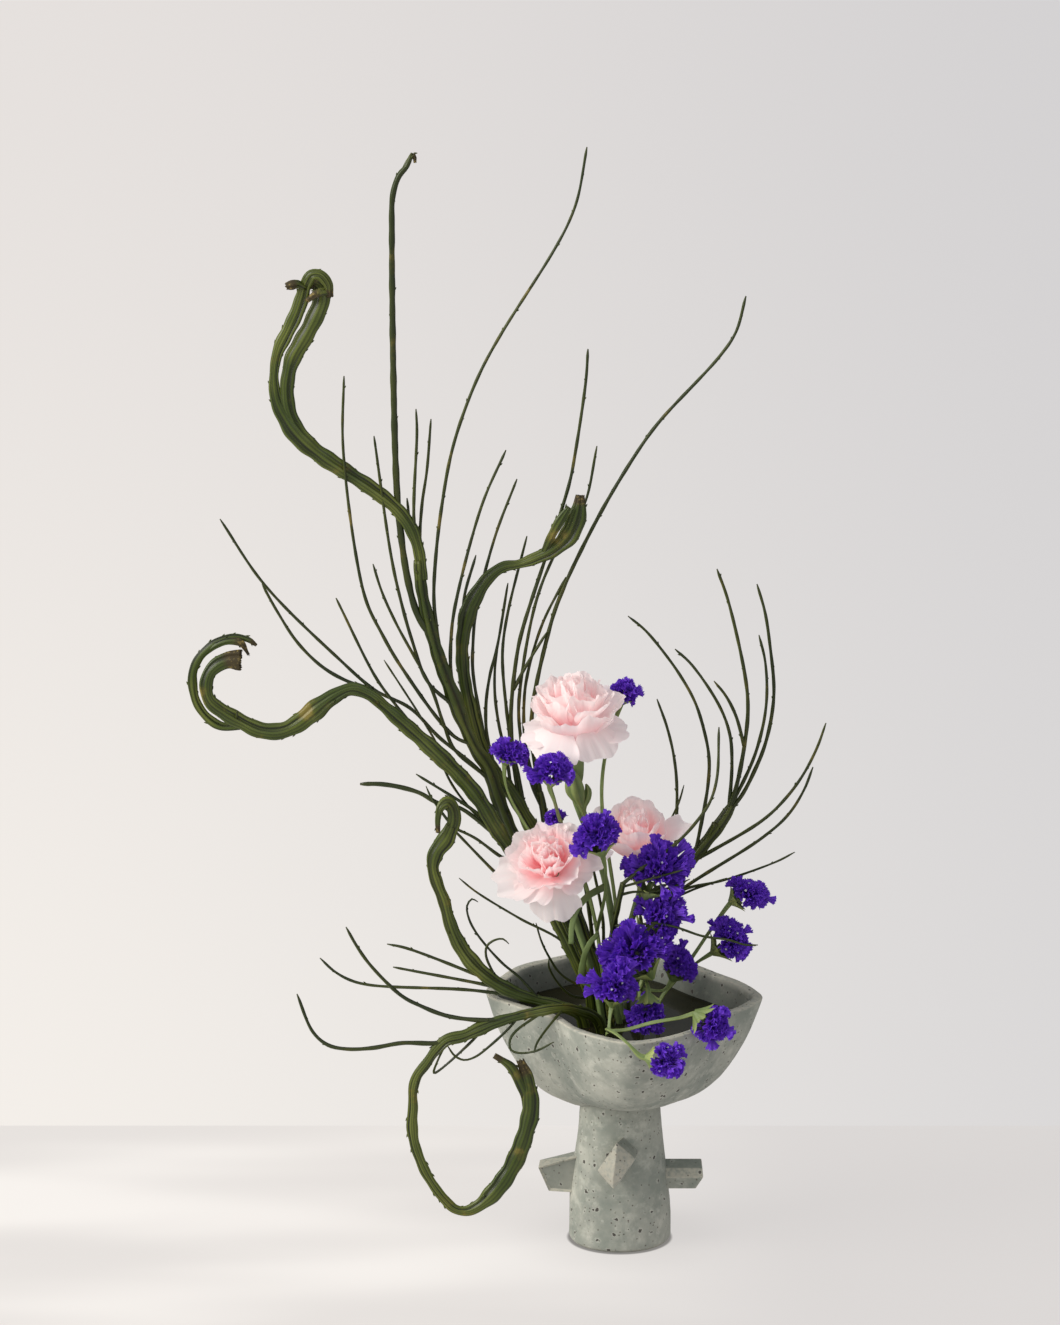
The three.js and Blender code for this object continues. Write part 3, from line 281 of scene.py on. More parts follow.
class Value:
    """A socket that takes part in Python expressions; each operator adds a Math node."""

    def __init__(self, finish, socket):
        self.finish = finish
        self.socket = socket

    def math(self, operation, *values):
        """One Math node on the values."""
        return self.finish.node(
            "ShaderNodeMath", {"operation": operation}, dict(enumerate(values))
        )

    def __add__(self, other):
        return self.math("ADD", self, other)

    def __sub__(self, other):
        return self.math("SUBTRACT", self, other)

    def __rsub__(self, other):
        return self.math("SUBTRACT", other, self)

    def __mul__(self, other):
        return self.math("MULTIPLY", self, other)

    def __pow__(self, other):
        return self.math("POWER", self, other)

    def __rpow__(self, other):
        return self.math("POWER", other, self)

    __radd__ = __add__
    __rmul__ = __mul__

    def ripple(self):
        """Runs from 0 to 1 and back for every whole step of the value."""
        return 0.5 + 0.5 * self.math("SINE", self * (2 * math.pi))

    def between(self, low, high):
        """0 at low, 1 at high, smooth in between and held outside."""
        return self.finish.node(
            "ShaderNodeMapRange",
            {"interpolation_type": "SMOOTHSTEP"},
            {"Value": self, "From Min": low, "From Max": high},
        )


class Nodes:
    """A node tree that is built by expressions."""

    def __init__(self, tree):
        self.tree = tree

    def node(self, kind, settings=None, inputs=None, output=0):
        """Adds a node: its settings first, then the values or links of its sockets."""
        made = self.tree.nodes.new(kind)
        for key, value in (settings or {}).items():
            setattr(made, key, value)
        for key, value in (inputs or {}).items():
            self.plug(made.inputs[key], value)
        return Value(self, made.outputs[output]) if made.outputs else None

    def plug(self, socket, value):
        """Links a value to a socket, or sets the socket to a number or colour."""
        if isinstance(value, Value):
            self.tree.links.new(value.socket, socket)
        elif socket.type == "RGBA" and len(value) == 3:
            socket.default_value = (*value, 1)
        else:
            socket.default_value = value

    def mix(self, share, first, second):
        """A colour between two, by a share from 0 to 1."""
        return self.node(
            "ShaderNodeMix", {"data_type": "RGBA"}, {0: share, 6: first, 7: second}, output=2
        )

    def axes(self, vector, names):
        """The numbers of a vector along the named axes."""
        return [
            self.node("ShaderNodeSeparateXYZ", inputs={"Vector": vector}, output=name)
            for name in names
        ]

    def coats(self, colour, *coats):
        """Lays coats over a colour, each given by its share from 0 to 1 and its own colour."""
        for share, coat in coats:
            colour = self.mix(share, colour, coat)
        return colour


class Finish(Nodes):
    """A material built round one shader."""

    def __init__(self, name):
        self.material = bpy.data.materials.new(name)
        self.material.use_nodes = True
        super().__init__(self.material.node_tree)
        self.shader = self.tree.nodes["Principled BSDF"]

    def set(self, **sockets):
        """Sets or links sockets of the shader, named with _ for a space."""
        for name, value in sockets.items():
            self.plug(self.shader.inputs[name.replace("_", " ")], value)

    def let_light_through(self, share, tint):
        """Makes a thin sheet glow where light falls on its other side."""
        through = self.node("ShaderNodeBsdfTranslucent", inputs={"Color": tint})
        surface = Value(self, self.shader.outputs["BSDF"])
        both = self.node("ShaderNodeMixShader", inputs={0: share, 1: surface, 2: through})
        self.plug(self.tree.nodes["Material Output"].inputs["Surface"], both)

    def mark(self, name):
        """A mark that the mesh carries."""
        return self.node("ShaderNodeAttribute", {"attribute_name": name}, output="Fac")

    def place(self, stretch=(1, 1, 1)):
        """Where the surface is on the object, in metres, stretched along each axis."""
        place = self.node("ShaderNodeTexCoord", output="Object")
        return self.node(
            "ShaderNodeVectorMath", {"operation": "MULTIPLY"}, {0: place, 1: stretch}
        )

    def clouds(self, scale, detail=3.0, stretch=(1, 1, 1), roughness=0.5):
        """Soft noise from 0 to 1, scale patches to the metre."""
        return self.node(
            "ShaderNodeTexNoise",
            inputs={
                "Vector": self.place(stretch), "Scale": scale, "Detail": detail,
                "Roughness": roughness,
            },
        )

    def scatter(self, scale):
        """Distance to the nearest of scattered points, scale to the metre, and its own number."""
        points = {"Vector": self.place(), "Scale": scale}
        near = self.node("ShaderNodeTexVoronoi", inputs=points, output="Distance")
        colour = Value(self, near.socket.node.outputs["Color"])
        return near, self.node("ShaderNodeSeparateColor", inputs={"Color": colour}, output="Red")

    def bump(self, height, distance, strength=1.0):
        """A bump of a height from 0 to 1 that stands distance millimetres proud."""
        return self.node(
            "ShaderNodeBump",
            inputs={"Height": height, "Distance": distance * MM, "Strength": strength},
        )


def stoneware_finish(colours):
    """Matt grey-green clay: clouds, scuffs, iron specks, haloed pinholes with painted shade in
    them, rubbed edges, and painted shade inside the bowl and in a lug's pocket.
    """
    finish = Finish("Stoneware")
    fine = finish.clouds(420, 4)
    broad = finish.clouds(34, 4, roughness=0.6)
    smear = finish.clouds(60, 5, stretch=(1.2, 1.2, 1.5), roughness=0.68)
    speck_place, speck_size = finish.scatter(380)
    specks = (1 - (speck_place + fine * 0.1).between(0.18, 0.3)) * speck_size.between(0.6, 0.7)
    pin_place, pin_size = finish.scatter(150)
    ragged = pin_place + (fine - 0.5) * 0.7 + (smear - 0.5) * 0.3 - pin_size * 0.06
    pinholes = (1 - ragged.between(0.05, 0.11)) * pin_size.between(0.3, 0.34)
    halo = (1 - ragged.between(0.12, 0.28)) * pin_size.between(0.3, 0.34) * 0.35
    scuffs = finish.clouds(190, 6, stretch=(1, 1, 0.6), roughness=0.7)
    mottle = finish.clouds(52, 5, stretch=(1.5, 1.5, 1), roughness=0.65)
    body = finish.coats(
        finish.mix(broad.between(0.32, 0.7), colours["shade"], colours["clay"]),
        (smear.between(0.48, 0.74) * 0.55, colours["pale"]),
        (mottle.between(0.52, 0.7) * 0.6, colours["shade"]),
        (scuffs.between(0.5, 0.68) * 0.4, colours["shade"]),
        (finish.mark("rubbed") * fine.between(0.25, 0.6) * 0.8, colours["buff"]),
        (halo, colours["pale"]),
        # Painted shade inside the bowl and in the left lug's pocket, darkest at the water where the
        # clay is wet.
        (finish.mark("damp") * (0.5 + 0.5 * broad), colours["damp"]),
        (specks * 0.8, colours["iron"]),
        # Painted shade in the pinholes.
        (pinholes * 0.9, colours["pit"]),
    )
    finish.set(
        Base_Color=body,
        Roughness=0.72 + 0.2 * fine,
        Normal=finish.bump(fine * 0.3 + scuffs * 0.3 + smear * 0.4 - pinholes * 1.6, 0.38, 0.85),
    )
    return finish.material


def water_finish(colours):
    """Still dark water with the faintest ripple."""
    finish = Finish("Water")
    broad = finish.clouds(30, 2)
    finish.set(
        Base_Color=finish.mix(broad, colours["deep"], colours["murk"]),
        Roughness=0.05 + 0.04 * broad,
        IOR=1.12,
        Normal=finish.bump(finish.clouds(46, 2), 0.5, 0.35),
    )
    return finish.material


def brass_finish():
    """Dulled brass with darker blotches."""
    finish = Finish("Dulled brass")
    blotch = finish.clouds(160, 4)
    finish.set(
        Base_Color=finish.mix(blotch, srgb(120, 102, 58), srgb(166, 142, 84)),
        Metallic=1.0,
        Roughness=0.32 + 0.3 * blotch,
        Normal=finish.bump(finish.clouds(900, 3), 0.08),
    )
    return finish.material


def broom_finish(colours):
    """Ribbed green bark: pale ribs over dark furrows, partly the bark's own colour and partly
    painted highlight and painted shade, browned where it is old or torn.
    """
    finish = Finish("Broom bark")
    rib = finish.mark("rib")
    line = finish.mark("line").ripple()
    patch = finish.clouds(45, 4, roughness=0.6)
    shade = finish.clouds(24, 2)
    fleck = finish.clouds(500, 3)
    light = finish.mix(shade.between(0.35, 0.65), colours["rib"], colours["fresh"])
    # Ribs and fine lines paler, furrows darker: partly the bark's colour, partly painted highlight
    # and painted shade.
    lit = (rib * 0.56 + line * 0.44).between(0.12, 0.95)
    worn = patch.between(0.62, 0.72) * (0.1 + rib * 0.3)
    aged = (finish.mark("age") * 1.5 - fleck * 0.6).between(0.1, 0.8)
    bark = finish.coats(
        finish.mix(lit * 0.92, colours["furrow"], light),
        (patch.between(0.56, 0.75) * 0.6, colours["olive"]),
        (worn, colours["straw"]),
        (aged, finish.mix(fleck.between(0.5, 0.8), colours["torn"], colours["straw"])),
    )
    finish.set(
        Base_Color=bark,
        Roughness=0.34 + 0.14 * patch + 0.25 * aged,
        Specular_IOR_Level=0.34,
        Normal=finish.bump(rib * 0.5 + line * 0.5, 0.3, 0.5),
    )
    return finish.material


def stem_finish(colours):
    """Carnation and statice green: a pale bloom over the skin, paler wings and joints."""
    finish = Finish("Green stems")
    patch = finish.clouds(70, 3)
    fleck = finish.clouds(900, 3)
    skin = finish.coats(
        finish.mix(patch.between(0.3, 0.7), colours["skin"], colours["waxy"]),
        (finish.mark("rib").between(0.2, 1.0) * 0.6, colours["wing"]),
        (finish.mark("age").between(0.2, 0.9), colours["bract"]),
    )
    finish.set(
        Base_Color=skin,
        Roughness=0.45 + 0.25 * fleck,
        Normal=finish.bump(fleck, 0.12, 0.6),
    )
    return finish.material


def petal_finish(colours):
    """Thin petals: white at the rim, rosy towards the heart and the root, finely veined, with a
    faint painted glow that lifts their shade.
    """
    finish = Finish("Carnation petals")
    inner = finish.mark("inner")
    along = finish.mark("along")
    patch = finish.clouds(110, 3)
    vein = finish.node(
        "ShaderNodeTexNoise",
        {"noise_dimensions": "1D"},
        {"W": finish.mark("across") * 9.0, "Scale": 1.0, "Detail": 3.0},
    )
    rosy = inner * 0.8 + (1 - along.between(0.35, 0.9)) * (0.25 + inner * 0.7) + (patch - 0.5) * 0.5
    petal = finish.coats(
        finish.mix(rosy.between(0.1, 0.75), colours["rim"], colours["blush"]),
        ((rosy - along * 0.4).between(0.4, 0.95), colours["heart"]),
        (vein.between(0.5, 0.75) * 0.22, colours["blush"]),
        (along.between(0.78, 0.98) * 0.85, colours["rim"]),
    )
    finish.set(
        Base_Color=petal,
        Roughness=0.55 + 0.15 * patch,
        Normal=finish.bump(vein, 0.3, 0.5),
        Specular_IOR_Level=0.25,
        # Painted light: the petals glow faintly with their own colour to lighten the shade between
        # them.
        Emission_Color=petal,
        Emission_Strength=0.12,
    )
    finish.let_light_through(0.42, srgb(255, 240, 240))
    return finish.material


def statice_finish(colours):
    """Papery violet cups, with painted shade down the throat, painted highlight on the pleats and
    rims, and the small white flower in a few.
    """
    finish = Finish("Statice paper")
    tone = finish.mark("tone")
    along = finish.mark("along")
    crinkle = finish.clouds(950, 3)
    paper = finish.coats(
        # Random tone mixed with painted highlight on the pleat crests and rims.
        finish.mix(tone * 0.7 + crinkle * 0.3, colours["violet"], colours["bright"]),
        # Painted shade down the throat.
        ((1 - along.between(0.3, 0.9)) * 0.7, colours["throat"]),
        (finish.mark("fade").between(0.3, 0.9), colours["cup"]),
        (finish.mark("speck").between(0.4, 0.6), colours["speck"]),
    )
    finish.set(
        Base_Color=paper,
        Roughness=0.6 + 0.25 * crinkle,
        Normal=finish.bump(crinkle, 0.3, 0.6),
    )
    finish.let_light_through(0.25, srgb(120, 50, 220))
    return finish.material


# How far from the foot's middle its two painted shadows on the table start and stop fading, in
# metres.
CONTACT_SHADE = (0.0309, 0.0332)
SOFT_SHADE = (0.030, 0.08)


def table_finish(colours):
    """Pale table glowing with painted light: soft patches of it at the left, painted shade greying
    the right, a painted shadow at the foot.
    """
    finish = Finish("Pale table")
    cloud = finish.clouds(3.2, 3)
    # Where the soft patches of painted light fall.
    patches = finish.clouds(2.2, 1.6, stretch=(1, 3.5, 1)).between(0.38, 0.66)
    across, behind = finish.axes(finish.place(), "XY")
    from_foot = (across ** 2 + behind ** 2) ** 0.5
    # Painted shadow round the foot: a dark ring at its edge and a faint broad one.
    contact = (1 - from_foot.between(*CONTACT_SHADE)) * 0.75
    contact = contact + (1 - from_foot.between(*SOFT_SHADE)) * 0.06
    # Painted light and shade on the table: bright patches at the left, shade greying the right, the
    # shadow round the foot.
    painted_light_and_shade = finish.coats(
        finish.mix(patches, colours["table_shade"], colours["table"]),
        (across.between(-0.16, 0.14), colours["table_far"]),
        (contact, colours["contact"]),
    )
    finish.set(
        Base_Color=finish.mix(0.9, painted_light_and_shade, (0.0, 0.0, 0.0)),
        Roughness=0.45 + 0.25 * cloud,
        Specular_IOR_Level=0.15,
        # The table glows with this painted light and shade, which keeps real shadows on it faint.
        Emission_Color=painted_light_and_shade,
        Emission_Strength=0.87,
        Normal=finish.bump(finish.clouds(14, 4), 0.4, 0.2),
    )
    return finish.material


# ---------------------------------------------------------------- strands


def nearest_on(drawn, place):
    """The place on a strand's drawn route that is nearest to a drawn point."""
    place = np.array(place[:2], float)
    best = None
    for start, end in zip(drawn, drawn[1:]):
        start, end = np.array(start, float), np.array(end, float)
        run = end - start
        share = np.dot(place - start[:2], run[:2]) / max(np.dot(run[:2], run[:2]), 1e-9)
        point = start + run * min(max(share, 0), 1)
        distance = np.linalg.norm(point[:2] - place)
        if best is None or distance < best[0]:
            best = (distance, point)
    return list(best[1])


class Branch:
    """A stem and what grows from it: strands drawn on the sheet, each from tip to root."""

    def __init__(self, name):
        self.name = name
        self.strands = []

    def add(self, drawn, widths, kind, flatness, foot=None, torn=0.0):
        """Adds a strand; a foot is the place (x, y) where it stands on the pin holder."""
        path = [from_sheet(place) for place in drawn]
        widths = list(widths)
        if foot is not None:
            path.append(np.array([*foot, FOOT_LEVEL], float))
            widths.append(widths[-1])
        strand = {
            "drawn": drawn, "path": np.array(path), "widths": widths, "kind": kind,
            "flatness": flatness, "stands": foot is not None, "torn": torn,
        }
        self.strands.append(strand)
        return strand

    def limb(self, points, foot=None, kind="stalk", flatness=STALK_THICKNESS, torn=0.0):
        """A thick part: every point is across, down, depth and width in squares."""
        drawn = [point[:3] for point in points]
        return self.add(drawn, [p[3] * SHEET_SQUARE for p in points], kind, flatness, foot, torn)

    def crest(self, points, foot=None, torn=0.0):
        """A flattened, fluted stem; torn is how far its ragged end stands out in mm."""
        return self.limb(points, foot, "crest", CREST_THICKNESS, torn)

    def shoot(self, parent, tip_depth, route, thickness=SHOOT, kind="shoot", flatness=1.0):
        """A shoot from its tip to its root on a parent strand.

        Where a point gives no depth of its own, the depth runs evenly between those that do.
        """
        drawn = [list(p) for p in route[:-1]] + [nearest_on(parent["drawn"], route[-1])]
        drawn[0] = [*drawn[0][:2], tip_depth]
        flat = np.array([p[:2] for p in drawn], float)
        along = np.concatenate([[0], np.cumsum(np.hypot(*np.diff(flat, axis=0).T))])
        known = [i for i, p in enumerate(drawn) if len(p) == 3]
        depths = np.interp(along, along[known], [drawn[i][2] for i in known])
        drawn = [[*p[:2], float(depth)] for p, depth in zip(drawn, depths)]
        widths = thickness[0] + (thickness[1] - thickness[0]) * along / along[-1]
        return self.add(drawn, widths, kind, flatness)


FOLD_WIDTH = 5.2  # of the folds that a crest has grown together from
FEWEST_FOLDS = 1.6
LINE_SPACING = 2.3  # of the fine lines along a crest


def ribbed_section(kind, width, sides, along, draw):
    """Sections as shares of the width and the thickness, with the rib and line of each corner.

    The folds of a crest drift, part and merge along it, and fine lines run along them.
    """
    angle = 2 * math.pi * (np.arange(sides) + 0.5)[None, :] / sides
    along = along[:, None]
    if kind == "crest":
        across = 0.5 * np.sign(np.cos(angle)) * np.abs(np.cos(angle)) ** 0.85
        ahead = 0.5 * np.sign(np.sin(angle)) * np.abs(np.sin(angle)) ** 0.7
        folds = max(width / FOLD_WIDTH, FEWEST_FOLDS)
        start = draw.random() * 6
        drift = 1.1 * np.sin(along * 0.035 + start + 2 * across)
        drift = drift + 0.4 * np.sin(along * 0.09 + 2 * start - 3 * across)
        deep = 0.6 + 0.4 * np.sin(along * 0.045 + 3 * start + 7 * across)
        rib = 1 - deep * (1 - (0.5 + 0.5 * np.cos(2 * math.pi * folds * across + drift)) ** 0.6)
        line = across * width / LINE_SPACING + 0.15 * drift
        return across, ahead * (0.55 + 0.45 * rib), rib, line
    if kind == "winged":
        rib = np.abs(np.cos(1.5 * angle)) ** 3
        radius = 0.26 + 0.24 * rib
    elif kind == "stalk":
        turned = angle + 0.25 * np.sin(along * 0.02)
        rib = 0.5 + 0.38 * np.cos(4 * turned) + 0.12 * np.cos(9 * turned + 2)
        radius = 0.42 + 0.08 * np.cos(4 * turned)
    else:
        rib = 0.34 + 0.3 * np.cos(angle) + 0.12 * np.cos(3 * angle)
        radius = 0.47 + 0.03 * np.cos(5 * angle)
    return radius * np.cos(angle), radius * np.sin(angle), rib, 0.0


STRAND_DETAIL = {  # step along the strand in mm, and sides
    "crest": (1.2, 72), "stalk": (2.0, 42), "stem": (2.2, 20), "shoot": (2.4, 16),
    "winged": (2.2, 12), "blade": (1.8, 12),
}
SHOOT_TAPER = 7  # mm from a shoot's tip to where it has its full width


def strand_rings(strand, draw, waver=0.05):
    """The rings of a strand, its frames and its marks, all from tip to root."""
    kind = strand["kind"]
    step, sides = STRAND_DETAIL[kind]
    table = smooth(np.column_stack([strand["path"], strand["widths"]]), step)
    path, widths = table[:, :3], table[:, 3]
    along = lengths_along(path)
    tangents = np.gradient(path, axis=0)
    tangents /= np.linalg.norm(tangents, axis=1)[:, None]
    sides_out, fronts = [], []
    side = None
    for tangent in tangents:
        if side is None or kind in ("crest", "blade"):
            side = unit(np.cross(tangent, TO_VIEWER))
        else:
            side = unit(side - tangent * np.dot(side, tangent))
        sides_out.append(side)
        fronts.append(np.cross(side, tangent))
    sides_out, fronts = np.array(sides_out), np.array(fronts)
    across, ahead, rib, line = ribbed_section(kind, float(np.max(widths)), sides, along, draw)
    phase = draw.random() * 10
    wave = 1 + waver * np.sin(along * 0.45 + phase) + waver * np.sin(along * 0.21 + 2 * phase)
    if kind == "shoot":
        wave *= np.clip(0.42 + along / SHOOT_TAPER, None, 1)
    thick = widths * strand["flatness"]
    if kind == "blade":
        thick = np.full_like(widths, BLADE_THICKNESS)
    rings = (
        path[:, None]
        + sides_out[:, None] * (across * (widths * wave)[:, None])[..., None]
        + fronts[:, None] * (ahead * (thick * wave)[:, None])[..., None]
    )
    if strand["stands"]:
        root = path[-1] - path[-2]
        rings[-1] += root * ((FOOT_LEVEL - rings[-1][:, 2:3]) / root[2])
    rib, line = (np.broadcast_to(mark, rings.shape[:2]) for mark in (rib, line))
    return {
        "rings": rings, "rib": rib, "line": line, "along": along, "path": path,
        "tangents": tangents, "sides": sides_out, "fronts": fronts,
        "widths": widths * wave, "thick": thick * wave,
    }


# From root to tip: where each ring of a bud is, its radius and how brown it is.
BUD_PROFILE = [(-0.5, 0.5, 0), (0.2, 0.62, 0.2), (0.9, 0.5, 0.6), (1.6, 0.08, 1.0)]
BUD_SIDES = 6


def add_bud(mould, place, towards, outward, size, age):
    """A small scale that lies along the stem and lifts off it at its tip."""
    towards = unit(towards + 0.45 * outward)
    side = unit(np.cross(towards, outward))
    out = np.cross(side, towards)
    angle = 2 * math.pi * np.arange(BUD_SIDES) / BUD_SIDES
    rows = []
    for length, radius, _ in BUD_PROFILE:
        centre = place + towards * length * size
        rows.append(
            centre
            + (side[None] * np.cos(angle)[:, None] + out[None] * np.sin(angle)[:, None] * 0.7)
            * radius * size
        )
    ages = np.array([row[2] for row in BUD_PROFILE])[:, None] * age
    mould.tube(np.array(rows), rib=0.6, age=ages)


# Spacing of the buds and their size, and the lengths without buds at a foot and at a root.
BUDS = {"crest": (8.0, 1.15), "stalk": (9.0, 1.0), "shoot": (17.0, 0.72)}
BARE_FOOT = 22
BARE_ROOT = 6


def add_strand(mould, strand, draw, bud_size):
    """Adds one broom strand with its buds and, where it is torn, its ragged end."""
    made = strand_rings(strand, draw)
    kind = strand["kind"]
    rings, along = made["rings"], made["along"]
    age = np.clip(1.15 - along / (4 + 3.5 * strand["torn"]), 0, 1)
    age = age * (1.0 if strand["torn"] else 0.45)
    ages = np.broadcast_to(age[:, None], rings.shape[:2]).copy()
    if strand["torn"]:
        teeth = np.array([draw.random() for _ in range(rings.shape[1])])
        teeth = (teeth + np.roll(teeth, 1)) * 0.5
        outward = -made["tangents"][0]
        lip = rings[0] + outward * (teeth[:, None] * strand["torn"])
        middle = rings[0].mean(axis=0)
        inner = middle + (rings[0] - middle) * 0.7 - outward * 0.8
        rings = np.concatenate([[inner], [lip], rings])
        ages = np.concatenate([np.ones((2, rings.shape[1])), ages])
        made["rib"] = np.concatenate([made["rib"][:1] * 0, made["rib"][:1], made["rib"]])
        made["line"] = np.concatenate([made["line"][:1]] * 2 + [made["line"]])
    mould.tube(rings, rib=made["rib"], line=made["line"], age=ages)
    spacing, usual_size = BUDS[kind]
    reach = draw.random() * spacing
    turn = draw.random() * 2 * math.pi
    end = along[-1] - (BARE_FOOT if strand["stands"] else BARE_ROOT)
    while reach < end:
        i = int(np.searchsorted(along, reach))
        side, front = made["sides"][i], made["fronts"][i]
        if kind == "crest":
            turn = draw.choice([0, math.pi, 0, math.pi, draw.random() * 6.28])
        else:
            turn += GOLDEN_ANGLE
        outward = unit(side * math.cos(turn) + front * math.sin(turn))
        place = (
            made["path"][i]
            + side * math.cos(turn) * made["widths"][i] * 0.46
            + front * math.sin(turn) * made["thick"][i] * 0.44
        )
        size = usual_size * bud_size * (0.7 + 0.6 * draw.random())
        add_bud(mould, place, -made["tangents"][i], outward, size, 0.25 + 0.6 * draw.random())
        reach += spacing * (0.6 + 0.8 * draw.random())


def add_plain_strand(mould, strand, draw):
    """A smooth strand: a stem, a leaf blade or a winged stalk."""
    made = strand_rings(strand, draw, waver=0.015)
    ribbed = strand["kind"] in ("winged", "stalk")
    mould.tube(made["rings"], rib=made["rib"] if ribbed else 0.0)


# ---------------------------------------------------------------- broom branches


def tall_branch():
    """The tall branch: its trunk, the forked crest at the top left and the tall shoots."""
    branch = Branch("broom_tall")
    trunk = branch.limb([
        [419, 560, 4, 11], [421, 585, 4, 12], [428, 620, 5, 13], [438, 655, 6, 14],
        [447, 680, 7, 15], [455, 700, 8, 17], [463, 722, 8, 14], [475, 748, 8, 13],
        [488, 768, 8, 15], [497, 795, 8, 14], [508, 825, 8, 15], [520, 852, 8, 15],
        [547, 892, 8, 14], [569, 931, 8, 14], [588, 970, 7, 13], [601, 1002, 4, 12],
    ], foot=(-10, 8))
    # The forked crest at the top left: the outer strap hooks over, the inner one ends torn.
    branch.crest([
        [330, 296, -2, 7], [328, 284, -4, 9], [320, 275, -5, 11], [312, 275, -4, 12],
        [306, 284, -2, 12], [302, 298, 0, 13], [297, 312, 0, 15], [288, 331, 0, 14],
        [279, 349, 0, 12], [275, 365, 0, 10], [274, 385, 0, 10], [277, 402, 0, 13],
        [286, 420, 0, 17], [300, 438, 0, 19], [319, 454, 1, 18], [345, 471, 2, 16],
        [371, 488, 3, 15], [396, 508, 4, 14], [411, 528, 4, 13], [419, 552, 4, 12],
        [422, 580, 4, 11],
    ], torn=0.8)
    branch.crest([
        [306, 286, 3, 8], [314, 284, 3, 12], [321, 291, 2, 16], [321, 302, 1, 17],
        [316, 315, 0, 17], [308, 331, 0, 18], [300, 345, 0, 17], [293, 358, 0, 16],
        [289, 372, 0, 15], [287, 390, 0, 14], [289, 408, 0, 13], [297, 428, 0, 14],
        [310, 444, 0, 12],
    ], torn=1.6)
    branch.crest([[308, 300, -4, 5], [318, 293, -4, 8], [330, 291, -2, 6]], torn=2.5)
    branch.limb([[287, 286, -5, 7], [292, 285, -5, 10], [298, 284, -4, 9], [306, 288, -2, 6]],
                torn=1.2)
    branch.limb([[415, 162, 6, 3], [414, 155, 6, 5], [409, 160, 6, 5], [405, 168, 6, 5]], torn=1)
    branch.shoot(trunk, 6, [[412, 153], [407, 166], [399, 176], [393, 195], [392, 235],
        [396, 470], [400, 525], [408, 580], [418, 615], [428, 640]], [3.6, 4.6])
    branch.shoot(trunk, 0, [[587, 147], [578, 197], [569, 222], [553, 252], [500, 336],
        [480, 373], [463, 415], [451, 455], [442, 505], [436, 555], [434, 600], [438, 637],
        [448, 672]])
    branch.shoot(trunk, -4, [[344, 376], [343, 445], [356, 555], [367, 603], [381, 632],
        [402, 668], [455, 737], [472, 745]])
    branch.shoot(trunk, 0, [[374, 436], [391, 555], [400, 597], [412, 640], [428, 682],
        [450, 712]])
    branch.shoot(trunk, 2, [[416, 409], [417, 430], [414, 520], [417, 560]])
    branch.shoot(trunk, 8, [[431, 419], [427, 470], [422, 505], [420, 545], [424, 590],
        [430, 622]])
    branch.shoot(trunk, -2, [[373, 564], [382, 592], [396, 623], [432, 690], [443, 722],
        [455, 750], [478, 785]])
    leaning = branch.shoot(trunk, -6, [[220, 519], [264, 584], [338, 658], [375, 690],
        [410, 708], [440, 738], [470, 762], [492, 785]])
    branch.shoot(leaning, -8, [[262, 584], [277, 611], [298, 643], [324, 668], [352, 683],
        [372, 690]])
    branch.shoot(trunk, -5, [[336, 598], [375, 676], [392, 700], [440, 758], [470, 790],
        [502, 815]])
    branch.shoot(trunk, -8, [[384, 660], [424, 722], [437, 745], [447, 775], [463, 800],
        [490, 828], [518, 850]], TENDRIL)
    branch.shoot(trunk, 12, [[506, 450], [482, 505], [455, 607], [451, 640], [451, 672],
        [456, 702]])
    branch.shoot(trunk, 10, [[407, 498], [411, 530], [420, 568]])
    branch.shoot(trunk, 2, [[536, 923], [541, 940], [548, 955], [562, 975], [588, 998]], TENDRIL)
    branch.shoot(trunk, -2, [[549, 958], [549, 967], [559, 984], [573, 996], [593, 1000]], TENDRIL)
    return branch


